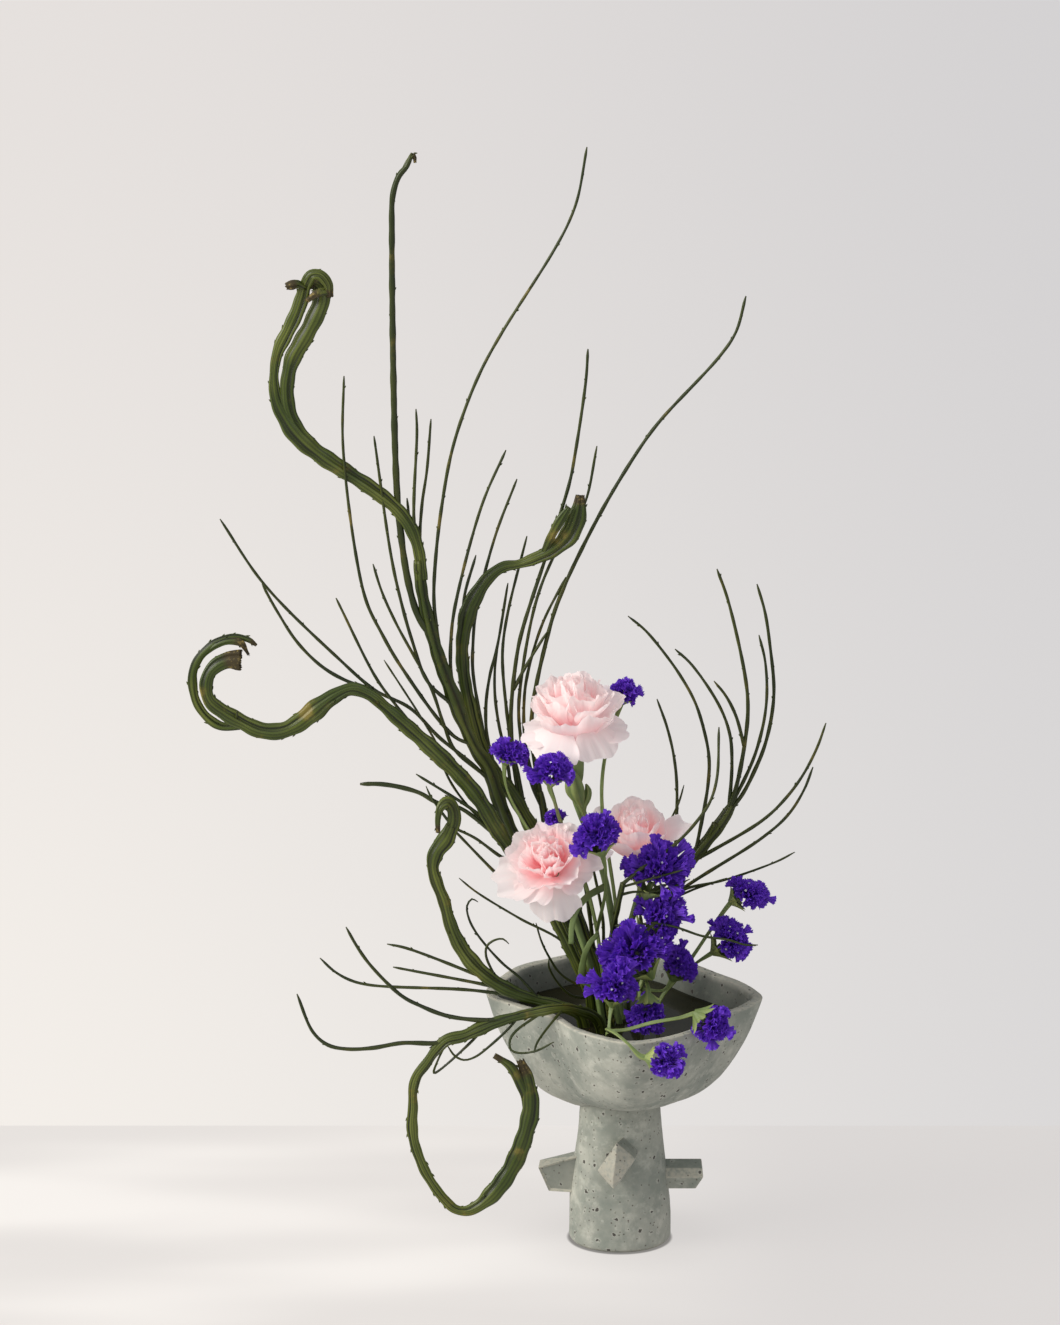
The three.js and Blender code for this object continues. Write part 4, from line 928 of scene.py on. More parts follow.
def crested_branch():
    """The branch behind it: the snake-headed crest and the right group of shoots."""
    branch = Branch("broom_crested")
    leg = branch.crest([
        [580, 496, 16, 9], [579, 508, 16, 16], [575, 523, 17, 19], [567, 538, 18, 19],
        [553, 550, 18, 15], [536, 558, 19, 12], [519, 564, 20, 10], [503, 567, 20, 11],
        [489, 577, 20, 12], [478, 592, 20, 16], [469, 610, 20, 17], [464, 630, 20, 15],
        [462, 650, 20, 13], [464, 675, 20, 13], [469, 702, 20, 13], [475, 728, 20, 14],
        [484, 755, 20, 14], [497, 775, 21, 14], [513, 795, 22, 14], [530, 825, 22, 15],
        [552, 868, 22, 14], [574, 915, 22, 14], [591, 960, 21, 13], [603, 1000, 18, 13],
    ], [-2, 18], torn=1)
    second = branch.limb([
        [540, 792, 26, 7], [548, 830, 27, 9], [562, 872, 27, 11], [580, 920, 26, 11],
        [596, 965, 24, 11], [605, 1000, 19, 11],
    ])
    branch.crest([[569, 507, 12, 5], [561, 519, 12, 9], [552, 535, 14, 9], [544, 552, 18, 7]])
    third = branch.shoot(leg, 28, [[588, 349], [586, 380], [575, 455], [569, 485],
        [523, 628], [517, 655], [511, 715], [513, 750], [520, 785], [530, 815]], [1.9, 3])
    branch.shoot(second, 24, [[597, 446], [586, 500], [573, 525], [556, 552], [536, 602],
        [520, 690], [519, 720], [524, 755], [534, 790], [543, 812]])
    branch.shoot(second, 34, [[746, 296], [736, 332], [720, 356], [660, 421], [640, 448],
        [605, 505], [575, 563], [562, 592], [552, 620], [533, 705], [532, 740], [537, 775],
        [545, 805]], [1.9, 3.1])
    branch.shoot(second, 30, [[566, 577], [542, 625], [527, 677], [524, 705], [525, 740],
        [532, 775], [544, 812]])
    branch.shoot(third, 27, [[547, 632], [525, 668], [516, 690]])
    branch.shoot(leg, 26, [[517, 479], [495, 537], [476, 612], [473, 645], [473, 672],
        [483, 730], [494, 765]])
    branch.shoot(leg, 24, [[476, 555], [464, 600], [463, 622]])
    branch.shoot(leg, 30, [[527, 536], [508, 612], [503, 645], [503, 672], [515, 775],
        [525, 808]])
    branch.shoot(leg, 28, [[508, 583], [497, 648], [490, 675], [486, 705], [487, 735],
        [500, 772]])
    branch.shoot(leg, 30, [[498, 642], [495, 668], [495, 695], [499, 725], [507, 760],
        [516, 790]])
    branch.shoot(second, 14, [[592, 862], [603, 920], [603, 960], [606, 990]])
    branch.shoot(second, 14, [[581, 868], [587, 895], [597, 962]], [2.4, 3])
    return branch


def curled_branch():
    """The branch that curls up at the far left."""
    branch = Branch("broom_curled")
    curl = branch.crest([
        [239, 660, -22, 20], [229, 660, -22, 19], [217, 665, -22, 15], [209, 674, -22, 13],
        [206, 688, -22, 13], [210, 701, -22, 14], [222, 711, -21, 15], [240, 721, -20, 16],
        [260, 730, -20, 17], [280, 731, -19, 16], [297, 724, -18, 19], [314, 711, -18, 20],
        [333, 697, -17, 16], [352, 689, -16, 13], [370, 695, -16, 12], [386, 708, -15, 13],
        [403, 723, -14, 15], [421, 739, -13, 16], [441, 757, -13, 17], [462, 778, -12, 16],
        [479, 799, -12, 16], [495, 826, -11, 16], [511, 850, -10, 15], [540, 892, -9, 13],
        [561, 930, -9, 13], [580, 970, -9, 12], [591, 1000, -8, 11],
    ], [-20, 1], torn=2.6)
    outer = branch.crest([
        [256, 645, -15, 3], [249, 640, -15, 6], [236, 637, -15, 7], [222, 640, -15, 8],
        [209, 648, -15, 9], [199, 658, -15, 9], [193, 672, -15, 9], [193, 688, -15, 9],
        [197, 703, -15, 9], [207, 717, -16, 9], [221, 726, -18, 9], [240, 726, -20, 8],
    ], torn=0.8)
    branch.crest([[247, 652, -18, 3], [241, 643, -18, 7], [229, 641, -17, 8],
        [216, 645, -16, 7], [203, 654, -15, 6]], torn=3.5)
    branch.shoot(curl, -30, [[237, 711], [235, 722]], [1.4, 2.0])
    branch.shoot(outer, -15, [[208, 724], [213, 722], [219, 724]], [1.6, 2.4])
    branch.shoot(curl, -10, [[360, 784], [380, 784], [400, 787], [420, 793], [438, 803],
        [460, 808], [480, 822], [508, 848]], [3.2, 2.6])
    branch.shoot(curl, -8, [[416, 774], [480, 815], [500, 836]])
    branch.shoot(curl, -14, [[452, 827], [475, 838], [500, 856], [524, 870]])
    branch.shoot(curl, -16, [[452, 828], [500, 877], [522, 896], [552, 916]])
    branch.shoot(curl, -14, [[459, 878], [475, 891], [519, 918], [563, 942], [576, 962]], TENDRIL)
    return branch


def low_branch():
    """The low branch with the rolled top."""
    branch = Branch("broom_low")
    stem = branch.crest([
        [452, 826, -26, 13], [446, 839, -25, 17], [436, 853, -24, 17], [433, 867, -24, 12],
        [437, 883, -24, 12], [444, 901, -24, 13], [449, 920, -24, 12], [456, 938, -24, 15],
        [467, 956, -24, 16], [481, 971, -24, 15], [498, 984, -23, 15], [516, 993, -22, 13],
        [537, 1000, -21, 11], [560, 1006, -21, 11], [580, 1016, -20, 12],
    ], [-21, -14])
    # The rolled top folds over to the front and hangs down.
    branch.crest([
        [438, 832, -30, 5], [438, 818, -31, 6], [441, 807, -31, 9], [447, 803, -29, 13],
        [453, 809, -27, 14], [454, 822, -26, 14], [447, 838, -25, 15],
    ], torn=0.8)
    branch.shoot(stem, -20, [[478, 902], [472, 899], [467, 906], [469, 919], [477, 934],
        [501, 962], [520, 978], [541, 1000]], TENDRIL)
    branch.shoot(stem, -28, [[509, 944], [503, 939], [495, 940], [487, 946], [486, 956],
        [500, 984]], TENDRIL)
    branch.shoot(stem, -30, [[387, 944], [406, 948], [484, 978], [503, 987]])
    branch.shoot(stem, -26, [[393, 967], [500, 988], [517, 994]])
    branch.shoot(stem, -20, [[320, 958], [334, 971], [350, 980], [370, 985], [470, 990],
        [522, 997], [540, 1001]])
    branch.shoot(stem, -22, [[426, 786], [431, 797], [452, 826]], TENDRIL)
    return branch


def hanging_branch():
    """The branch that leaves over the rim and loops down beside the foot."""
    branch = Branch("broom_hanging")
    loop = branch.crest([
        [521, 1062, -64, 8], [526, 1074, -64, 12], [530, 1090, -64, 15], [531, 1108, -64, 17],
        [527, 1128, -64, 18], [521, 1147, -63, 18], [513, 1165, -62, 18], [503, 1181, -62, 19],
        [491, 1195, -61, 17], [478, 1206, -60, 13], [466, 1211, -60, 11], [455, 1209, -60, 9],
        [445, 1200, -60, 10], [436, 1189, -60, 10], [426, 1173, -60, 10], [419, 1157, -60, 10],
        [414, 1141, -60, 11], [412, 1124, -60, 11], [413, 1107, -60, 10], [413, 1090, -60, 10],
        [417, 1076, -60, 10], [426, 1064, -60, 10], [436, 1050, -60, 11], [447, 1040, -60, 12],
        [463, 1036, -60, 12], [479, 1029, -59, 14], [497, 1022, -58, 11], [518, 1016, -57, 10],
        [541, 1011, -55, 10], [562, 1008, -50, 9], [580, 1011, -42, 10], [598, 1021, -34, 11],
    ], [-11, -25], torn=2.6)
    branch.crest([[495, 1056, -68, 6], [500, 1059, -68, 7], [511, 1067, -67, 9],
        [518, 1079, -66, 10], [525, 1094, -64, 11], [529, 1112, -63, 11],
        [527, 1132, -63, 9]], torn=1)
    branch.shoot(loop, -66, [[346, 927], [358, 948], [372, 967], [402, 996], [421, 1006],
        [444, 1015], [466, 1019], [492, 1020], [520, 1016]], [1.9, 3.2])
    branch.shoot(loop, -60, [[297, 994], [313, 1032], [328, 1045], [347, 1049], [372, 1048],
        [402, 1043], [437, 1043], [450, 1039]], [1.9, 3.2])
    branch.shoot(loop, -78, [[554, 1042], [536, 1051], [519, 1053], [511, 1050], [510, 1040],
        [516, 1031], [546, 1012]], TENDRIL)
    branch.shoot(loop, -78, [[534, 1053], [537, 1043], [563, 1009]], TENDRIL)
    branch.shoot(loop, -60, [[447, 1045], [455, 1056], [464, 1060], [475, 1057], [492, 1044],
        [510, 1027], [519, 1016]], TENDRIL)
    branch.shoot(loop, -60, [[446, 1044], [438, 1060], [434, 1073], [473, 1040],
        [484, 1027]], TENDRIL)
    return branch


def right_spray():
    """The fan of shoots at the right."""
    branch = Branch("broom_right")
    trunk = branch.limb([
        [732, 805, 34, 9], [724, 818, 34, 12], [714, 832, 34, 13], [703, 846, 34, 13],
        [694, 857, 34, 12], [685, 870, 33, 10], [668, 900, 31, 9], [648, 942, 28, 9],
        [634, 980, 24, 9], [626, 1005, 18, 9],
    ], foot=(13, 14))
    branch.limb([[715, 823, 30, 6], [710, 833, 32, 6], [703, 846, 34, 6]])
    tall = branch.shoot(trunk, 26, [[717, 569], [728, 600], [745, 675], [748, 705],
        [746, 735], [736, 788], [727, 814]], [1.9, 3])
    branch.shoot(tall, 22, [[714, 681], [726, 696], [736, 716], [743, 745]])
    branch.shoot(trunk, 42, [[757, 584], [765, 612], [770, 645], [774, 690], [771, 720],
        [764, 748], [754, 772], [742, 795], [727, 818]], [1.9, 2.8])
    branch.shoot(trunk, 36, [[759, 635], [765, 660], [767, 690], [765, 715], [759, 742],
        [751, 765], [730, 808]])
    branch.shoot(trunk, 44, [[675, 649], [692, 665], [720, 707], [730, 735], [732, 760],
        [731, 785], [727, 810]])
    branch.shoot(trunk, 36, [[628, 616], [645, 630], [662, 650], [680, 675], [695, 702],
        [704, 730], [709, 757], [708, 785], [695, 856]])
    branch.shoot(trunk, 30, [[657, 699], [667, 727], [674, 757], [677, 790], [672, 890]])
    branch.shoot(trunk, 26, [[684, 785], [679, 802], [659, 847], [655, 880], [656, 920]], TENDRIL)
    branch.shoot(trunk, 30, [[826, 723], [817, 748], [803, 775], [786, 798], [763, 820],
        [690, 864]])
    branch.shoot(trunk, 38, [[813, 767], [804, 790], [788, 815], [762, 838], [684, 888],
        [668, 904]])
    branch.shoot(trunk, 24, [[795, 852], [778, 861], [725, 880], [684, 890], [664, 908]], TENDRIL)
    branch.shoot(trunk, 28, [[727, 878], [690, 891], [675, 899], [660, 916]], TENDRIL)
    return branch


def centre_spray():
    """The thin shoots that pass in front of the violet heads."""
    branch = Branch("broom_centre")
    trunk = branch.limb([
        [623, 883, -46, 6], [618, 905, -39, 6], [612, 935, -27, 6], [609, 970, -21, 6],
        [608, 1000, -19, 6],
    ], foot=(2, -17))
    branch.shoot(trunk, -10, [[719, 727], [717, 778], [710, 802], [698, 820], [682, 838],
        [662, 855], [641, 869], [623, 884]])
    branch.shoot(trunk, -46, [[683, 870], [622, 887]], TENDRIL)
    branch.shoot(trunk, -42, [[690, 879], [675, 886], [652, 892], [633, 892], [620, 895]], TENDRIL)
    branch.shoot(trunk, -38, [[758, 945], [746, 945], [728, 940], [702, 936], [675, 927, -45],
        [652, 923, -45], [633, 927], [614, 925]], TENDRIL)
    return branch


BROOMS = [
    tall_branch, crested_branch, curled_branch, low_branch, hanging_branch, right_spray,
    centre_spray,
]


# ---------------------------------------------------------------- carnations

# Rings of petals, then single ones. A ring gives its number of petals and the first one's
# azimuth in degrees (0 faces the viewer, 90 is to the right); a single petal gives its azimuth.
# Then come: where it starts (radius, height), how it leans from the bloom's axis at its root,
# a quarter, the middle and the end (degrees), its length and width, how far its sides curl in
# (radians), how deep its rim ruffles and how rosy it is.
BLOOMS = [
    {
        "name": "carnation_bloom_upper", "base": [577, 753, -16], "top": [574, 700, -24],
        "size": 1.0, "seed": 11,
        "singles": [
            (-46, (4.0, 18), (44, 88, 134, 150), 32, 44, -0.3, 1.8, 0.0),
            (36, (4.0, 18), (46, 92, 132, 150), 30, 33, -0.25, 1.8, 0.0),
            (96, (3.8, 7), (26, 60, 92, 100), 31, 36, -0.2, 2.0, 0.0),
            (156, (3.6, 4), (24, 54, 80, 90), 32, 38, -0.2, 2.0, 0.0),
            (208, (3.6, 4), (24, 54, 80, 90), 32, 38, -0.2, 2.0, 0.0),
            (-98, (3.8, 7), (24, 58, 88, 96), 32, 38, -0.2, 2.0, 0.0),
            (-12, (3.2, 17), (34, 48, 0, -48), 29, 31, 1.4, 1.6, 0.15),
            (-48, (3.4, 17), (36, 52, 34, 4), 31, 27, 0.9, 2.2, 0.4),
            (-74, (3.6, 15), (38, 60, 44, 28), 33, 32, 0.6, 2.6, 0.3),
            (48, (3.4, 17), (34, 52, 44, 34), 33, 36, 0.6, 1.6, 0.1),
        ],
        "rings": [
            (4, 88, (3.2, 6), (22, 42, 42, 40), 39, 42, 0.4, 3.2, 0.2),
            (5, 20, (2.8, 8), (14, 28, 24, 20), 41, 34, 0.6, 4.0, 0.4),
            (5, 50, (2.2, 9), (9, 16, 6, -6), 42, 28, 0.6, 4.2, 0.65),
            (4, 10, (1.4, 9), (4, 6, -4, -20), 41, 22, 0.7, 3.6, 0.9),
        ],
    },
    {
        "name": "carnation_bloom_right", "base": [636, 857, 6], "top": [634, 808, -14],
        "size": 0.82, "seed": 23,
        "singles": [
            (-100, (3.4, 4), (30, 62, 54, 26), 47, 38, 0.6, 1.6, 0.3),
            (86, (3.4, 5), (30, 56, 58, 66), 46, 28, 0.7, 1.0, 0.4),
            (150, (3.4, 5), (20, 38, 26, 8), 41, 40, 0.7, 2.6, 0.4),
            (205, (3.4, 5), (20, 38, 26, 8), 41, 40, 0.7, 2.6, 0.4),
            (44, (3.4, 4), (34, 58, 34, 10), 38, 42, 1.0, 1.4, 0.45),
            (-34, (3.4, 4), (36, 62, 34, 4), 38, 46, 1.0, 1.4, 0.45),
        ],
        "rings": [
            (5, 10, (3.0, 4), (18, 38, 24, -6), 40, 34, 1.0, 2.2, 0.4),
            (5, 40, (2.4, 6), (12, 24, 8, -20), 42, 27, 1.1, 2.6, 0.6),
            (4, 0, (1.8, 7), (8, 12, -4, -34), 42, 23, 1.1, 2.6, 0.85),
            (3, 30, (1.2, 8), (4, 4, -10, -40), 40, 18, 1.1, 2.2, 1.0),
        ],
    },
    {
        "name": "carnation_bloom_left", "base": [555, 876, -26], "top": [544, 846, -52],
        "size": 0.9, "seed": 37,
        "singles": [
            (-16, (3.6, 4), (38, 88, 132, 150), 35, 36, -0.3, 1.6, 0.0),
            (-90, (3.6, 2), (30, 66, 80, 78), 40, 36, 0.2, 2.0, 0.1),
            (-54, (3.6, 2), (28, 62, 80, 84), 29, 30, 0.3, 2.0, 0.15),
            (84, (3.6, 2), (28, 64, 78, 82), 42, 28, 0.4, 1.2, 0.1),
            (44, (3.6, 3), (28, 62, 82, 84), 27, 28, 0.3, 1.8, 0.2),
            (138, (3.6, 2), (24, 48, 58, 54), 34, 36, 0.4, 2.2, 0.15),
            (-138, (3.6, 2), (24, 50, 60, 56), 35, 36, 0.4, 2.2, 0.15),
        ],
        "rings": [
            (5, 34, (3.2, 3), (18, 42, 48, 40), 34, 34, 0.6, 3.2, 0.35),
            (6, 0, (2.8, 4), (14, 28, 26, 16), 36, 28, 0.7, 3.8, 0.6),
            (6, 30, (2.2, 5), (9, 16, 10, -4), 37, 23, 0.7, 3.8, 0.85),
            (4, 0, (1.6, 6), (5, 6, -4, -20), 37, 18, 0.8, 3.0, 1.0),
        ],
    },
]
PETAL_ROWS = 22
PETAL_COLUMNS = 41
CLAW = 0.16  # width of a petal at its root, as a share of its full width
SHOULDER = 0.85  # where along a petal its full width is reached
LEAN_PLACES = [0, 0.25, 0.5, 1.0]  # where along a petal its four leans are given
# Shares of a petal's length: the rim's drop at its sides, its lobes and its teeth.
RIM_DROP, LOBE_DEPTH, TOOTH_DEPTH = 0.22, 0.045, 0.008


def add_petal(mould, frame_of, draw, azimuth, start, leans, length, width, curl, ruffle, inner):
    """Adds one fan-shaped petal with a toothed, ruffled rim."""
    foot, ahead, side, axis = frame_of
    u = np.linspace(0, 1, PETAL_ROWS)[:, None]
    v = np.linspace(-1, 1, PETAL_COLUMNS)[None, :]
    teeth = np.array([draw.random() - 0.5 for _ in range(PETAL_COLUMNS)])
    teeth += 0.5 * np.where(np.arange(PETAL_COLUMNS) % 2, 1, -1)
    lobes = LOBE_DEPTH * np.sin(v * draw.uniform(5, 8) + draw.random() * 6)
    rim = 1 - RIM_DROP * np.abs(v) ** 2.2 + lobes + TOOTH_DEPTH * teeth[None, :]
    along = u * (1 + (rim - 1) * u)
    fine = np.linspace(0, 1.15, 60)
    lean = np.radians(np.interp(fine, LEAN_PLACES, leans))
    step = fine[1] * length
    reach = start[0] + np.concatenate([[0], np.cumsum(np.sin(lean[:-1]) * step)])
    rise = start[1] + np.concatenate([[0], np.cumsum(np.cos(lean[:-1]) * step)])
    r, h = np.interp(along, fine, reach), np.interp(along, fine, rise)
    leaning = np.interp(along, fine, lean)
    fan = np.sin(np.clip(u / SHOULDER, 0, 1) * math.pi / 2) ** 1.5
    half = width / 2 * (CLAW + (1 - CLAW) * fan)
    bend = curl if abs(curl) > 0.05 else 0.05
    sideways = half * np.sin(v * bend) / bend
    inward = half * (1 - np.cos(v * bend)) / bend
    waves = [draw.uniform(1.0, 2.0), draw.random() * 6, draw.uniform(3, 4.5), draw.random() * 6]
    wave = 0.7 * np.sin(math.pi * waves[0] * v + waves[1] + 0.9 * u)
    wave = wave + 0.3 * u * np.sin(math.pi * waves[2] * v + waves[3])
    wave = wave + 0.12 * u**4 * np.sin(math.pi * 9 * v + waves[1])
    outward = ruffle * u**1.4 * wave - inward
    out_radial = r + np.cos(leaning) * outward
    out_axis = h - np.sin(leaning) * outward
    turn = math.radians(azimuth)
    radial = math.cos(turn) * ahead + math.sin(turn) * side
    tangent = -math.sin(turn) * ahead + math.cos(turn) * side
    points = (
        foot
        + out_radial[..., None] * radial
        + out_axis[..., None] * axis
        + sideways[..., None] * tangent
    )
    mould.grid(points, along=u, across=v + azimuth, inner=inner)


def bloom_mesh(bloom):
    """The petals of one bloom, ring by ring."""
    draw = random.Random(bloom["seed"])
    mould = Mould("along", "across", "inner")
    foot = from_sheet(bloom["base"])
    axis = unit(from_sheet(bloom["top"]) - foot)
    ahead = unit(TO_VIEWER - axis * np.dot(TO_VIEWER, axis))
    side = np.cross(axis, ahead)
    size = bloom["size"]
    frame_of = (foot, ahead * size, side * size, axis * size)
    for petal in bloom["singles"]:
        add_petal(mould, frame_of, draw, *petal)
    for count, first, start, leans, length, width, curl, ruffle, inner in bloom["rings"]:
        for i in range(count):
            azimuth = first + 360 * i / count + draw.uniform(-9, 9)
            own = [lean + draw.uniform(-6, 6) for lean in leans]
            add_petal(
                mould, frame_of, draw, azimuth, start, own, length * draw.uniform(0.93, 1.05),
                width * draw.uniform(0.9, 1.1), curl, ruffle, inner,
            )
    return mould


CARNATION_STEMS = [
    {
        "name": "carnation_stem_upper", "bloom": 0, "calyx_end": [575, 796, -13],
        "stem": [[580, 812, -12], [590, 836, -10], [602, 868, -9], [610, 905, -9],
                 [615, 945, -10], [613, 990, -11]],
        "foot": (9, -12),
        "leaves": [(-42, [[571, 944], [572, 925], [577, 909, -38], [587, 897, -30], [606, 886]])],
        "buds": [
            [[571, 769, -22, 4], [571, 773, -22, 10], [573, 781, -22, 17], [575, 790, -22, 19],
             [578, 798, -21, 14], [581, 806, -19, 7], [585, 816, -15, 6], [590, 832, -11, 5]],
            [[586, 784, -18, 2], [588, 790, -18, 7], [587, 798, -18, 8], [584, 806, -18, 6],
             [584, 814, -16, 4]],
        ],
    },
    {
        "name": "carnation_stem_right", "bloom": 1, "calyx_end": [641, 888, 6],
        "stem": [[636, 905, 4], [629, 930, 3], [622, 960, 2], [618, 995, -1]],
        "foot": (16, -5),
    },
    {
        "name": "carnation_stem_left", "bloom": 2, "calyx_end": [570, 900, -22],
        "stem": [[577, 925, -21], [587, 955, -20], [597, 990, -17]],
        "foot": (-6, -11),
        "leaves": [(-30, [[598, 934], [590, 943], [584, 958], [583, 980], [596, 988]])],
    },
]


def carnation_stem(spec):
    """A carnation's calyx, stem, strap leaves and side bud."""
    branch = Branch(spec["name"])
    bloom = BLOOMS[spec["bloom"]]
    width = CARNATION_STEM / SHEET_SQUARE
    mouth = CALYX_MOUTH_RADIUS * 2 * bloom["size"] / SHEET_SQUARE

    def towards(share):
        """A place on the way from the bloom's base to the calyx's end."""
        return [a + share * (b - a) for a, b in zip(bloom["base"], spec["calyx_end"])]

    main = branch.limb(
        [[*towards(0.05), mouth], [*towards(0.5), mouth * 1.1], [*spec["calyx_end"], width * 1.1]]
        + [[*point, width] for point in spec["stem"]],
        foot=spec["foot"], kind="stem", flatness=1,
    )
    for tip, route in spec.get("leaves", []):
        branch.shoot(main, tip, route, LEAF, kind="blade")
    for bud in spec.get("buds", []):
        branch.limb(bud)
    return branch


# ---------------------------------------------------------------- statice

# The drawn middle and half sizes of each head, the drawn place of its cup, and its cups in the
# solid.
STATICE_HEADS = [
    ([624, 693, 4], [12, 12], [621, 705], 6), ([508, 753, -16], [16, 11], [505, 763], 7),
    ([552, 771, -54], [20, 17], [550, 787], 10), ([554, 818, -20], [9, 9], [559, 826], 4),
    ([597, 836, -54], [21, 21], [603, 856], 11), ([657, 872, -34], [34, 25], [648, 892], 16),
    ([660, 917, -36], [26, 22], [648, 928], 12), ([634, 953, -45], [34, 24], [646, 970], 16),
    ([615, 987, -70], [24, 22], [612, 1006], 11), ([680, 964, -26], [14, 19], [672, 980], 8),
    ([648, 1012, -56], [17, 24], [648, 992], 9), ([748, 893, -10], [21, 14], [733, 901], 9),
    ([730, 940, -18], [19, 20], [714, 952], 9), ([712, 1025, -84], [19, 20], [697, 1014], 9),
    ([664, 1060, -114], [21, 14], [641, 1057], 8),
]
CUP_WIDTH = 5.5
CUP_DEPTH = 0.5  # how far a cup reaches into its head, as a share of the way to the middle


def cup_ends(head):
    """The drawn ends of the green cup under a head, the upper one first."""
    middle, _, base, _ = STATICE_HEADS[head - 1]
    inside = [b + CUP_DEPTH * (m - b) for b, m in zip(base, middle)]
    return [[*inside, middle[2]], [*base, middle[2]]]


def statice_stem(branch, head, points, foot):
    """A winged stem from the cup under its head down to the pin holder."""
    width, cup = STATICE_STEM[1] / SHEET_SQUARE, CUP_WIDTH / SHEET_SQUARE
    ends = [[*point, cup * (1 - 0.2 * i)] for i, point in enumerate(cup_ends(head))]
    return branch.limb(
        ends + [[*point, width] for point in points], foot=foot, kind="winged", flatness=0.75
    )


def head_stalk(branch, parent, head, route):
    """A side stalk from the cup under a head to the stem it leaves."""
    ends = cup_ends(head)
    stalk = branch.shoot(
        parent, ends[0][2], [*ends, *route], STATICE_STEM, kind="winged", flatness=0.75
    )
    stalk["widths"][0] = CUP_WIDTH
    stalk["widths"][1] = CUP_WIDTH * 0.8


def statice_stems():
    """The five winged statice stems, each with its side stalks and the heads it carries."""
    back = Branch("statice_stem_back")
    statice_stem(back, 1, [[612, 730, 5], [604, 765, 7], [602, 800, 7], [608, 850, 8],
                           [616, 910, 7], [615, 960, 7], [613, 1000, 5]], (5, 4))
    left = Branch("statice_stem_left")
    main = statice_stem(left, 3, [[554, 799, -50], [561, 822, -24], [572, 850, -13],
                                  [587, 888, -10], [597, 930, -7], [603, 975, -5]], (-2, 0))
    head_stalk(left, main, 2, [[506, 785], [518, 812], [540, 842], [574, 856]])
    head_stalk(left, main, 4, [[564, 836], [576, 858]])
    head_stalk(left, main, 5, [[606, 872], [605, 895], [598, 930]])
    middle = Branch("statice_stem_middle")
    main = statice_stem(middle, 6, [[650, 907, -24], [651, 927, -14], [650, 947, -12],
                                    [647, 967, -16], [640, 990, -22]], (20, -16))
    head_stalk(middle, main, 7, [[646, 940, -31], [649, 956]])
    head_stalk(middle, main, 8, [[649, 975], [642, 988]])
    head_stalk(middle, main, 10, [[664, 990], [643, 990]])
    head_stalk(middle, main, 11, [[646, 982, -47], [641, 990]])
    right = Branch("statice_stem_right")
    main = statice_stem(right, 12, [[713, 927, -10], [694, 955, -10], [676, 980, -10],
                                    [660, 1002, -10]], (23, -7))
    head_stalk(right, main, 13, [[698, 962], [678, 978]])
    low = Branch("statice_stem_low")
    main = statice_stem(low, 14, [[680, 1018, -83], [652, 1023, -82], [626, 1030, -80],
                                  [609, 1032, -77], [607, 1040, -68]], (9, -23))
    head_stalk(low, main, 9, [[610, 1018], [609, 1031]])
    head_stalk(low, main, 15, [[628, 1044, -111], [616, 1034, -104], [607, 1029, -92],
                               [609, 1032]])
    return [(back, [1]), (left, [3, 2, 4, 5]), (middle, [6, 7, 8, 10, 11]), (right, [12, 13]),
            (low, [14, 9, 15])]


BRACT_ROWS = 7
BRACT_COLUMNS = 5


def add_bract(mould, place, towards, outward, length, width, age):
    """A small leafy scale: a cupped blade that ends in a point."""
    side = unit(np.cross(towards, outward))
    out = np.cross(side, unit(towards))
    u = np.linspace(0, 1, BRACT_ROWS)[:, None]
    v = np.linspace(-1, 1, BRACT_COLUMNS)[None, :]
    half = width / 2 * np.sin(np.clip(u * 0.9 + 0.1, 0, 1) * math.pi) ** 0.7
    points = (
        place
        + unit(towards) * (u * length)[..., None]
        + side * (half * v)[..., None]
        + out * (length * 0.18 * u**2 - half * 0.5 * np.abs(v) ** 2)[..., None]
    )
    mould.grid(points, rib=0.3, age=age + 0.25 * u)


def head_frame(head):
    """The middle of a head, its half sizes and the axis it grows along."""
    middle, half, base, _ = STATICE_HEADS[head - 1]
    centre = from_sheet(middle)
    axis = unit(centre - from_sheet([*base, middle[2]]))
    across, upright = half[0] * SHEET_SQUARE, half[1] * SHEET_SQUARE
    return centre, np.array([across, (across + upright) * 0.42, upright]), axis


def turned_to(axis):
    """The rotation that carries +Z to the axis."""
    return np.array(Vector((0, 0, 1)).rotation_difference(Vector(axis)).to_matrix())


BRACTS = 9  # round the underside of a head
BRACT_WIDTH = 5.2


def add_head_cup(mould, head, draw):
    """The green bracts that hold a head from below."""
    centre, stretch, axis = head_frame(head)
    turn = turned_to(axis)
    for i in range(BRACTS):
        angle = 2 * math.pi * (i + 0.4 * draw.random()) / BRACTS
        radial = turn @ np.array([math.cos(angle), math.sin(angle), 0])
        place = centre - axis * np.dot(stretch, np.abs(axis)) * 0.86 + radial * 1.6
        outward = unit(radial - axis * 0.3)
        add_bract(
            mould, place, unit(axis + radial * 0.9), outward,
            float(np.dot(stretch, np.abs(radial))) * 0.66, BRACT_WIDTH,
            0.1 + 0.3 * draw.random(),
        )


FLORET_SIDES = 28
# From root to rim: share of the length, share of the radius, depth of the pleats.
FLORET_ROWS = [
    (0, 0.1, 0), (0.4, 0.34, 0.1), (0.72, 0.62, 0.2), (0.92, 0.9, 0.26), (1, 1.06, 0.34),
]
FLOWERING = 0.1  # share of the cups that hold a small white flower
FLOWER_PETALS = 5


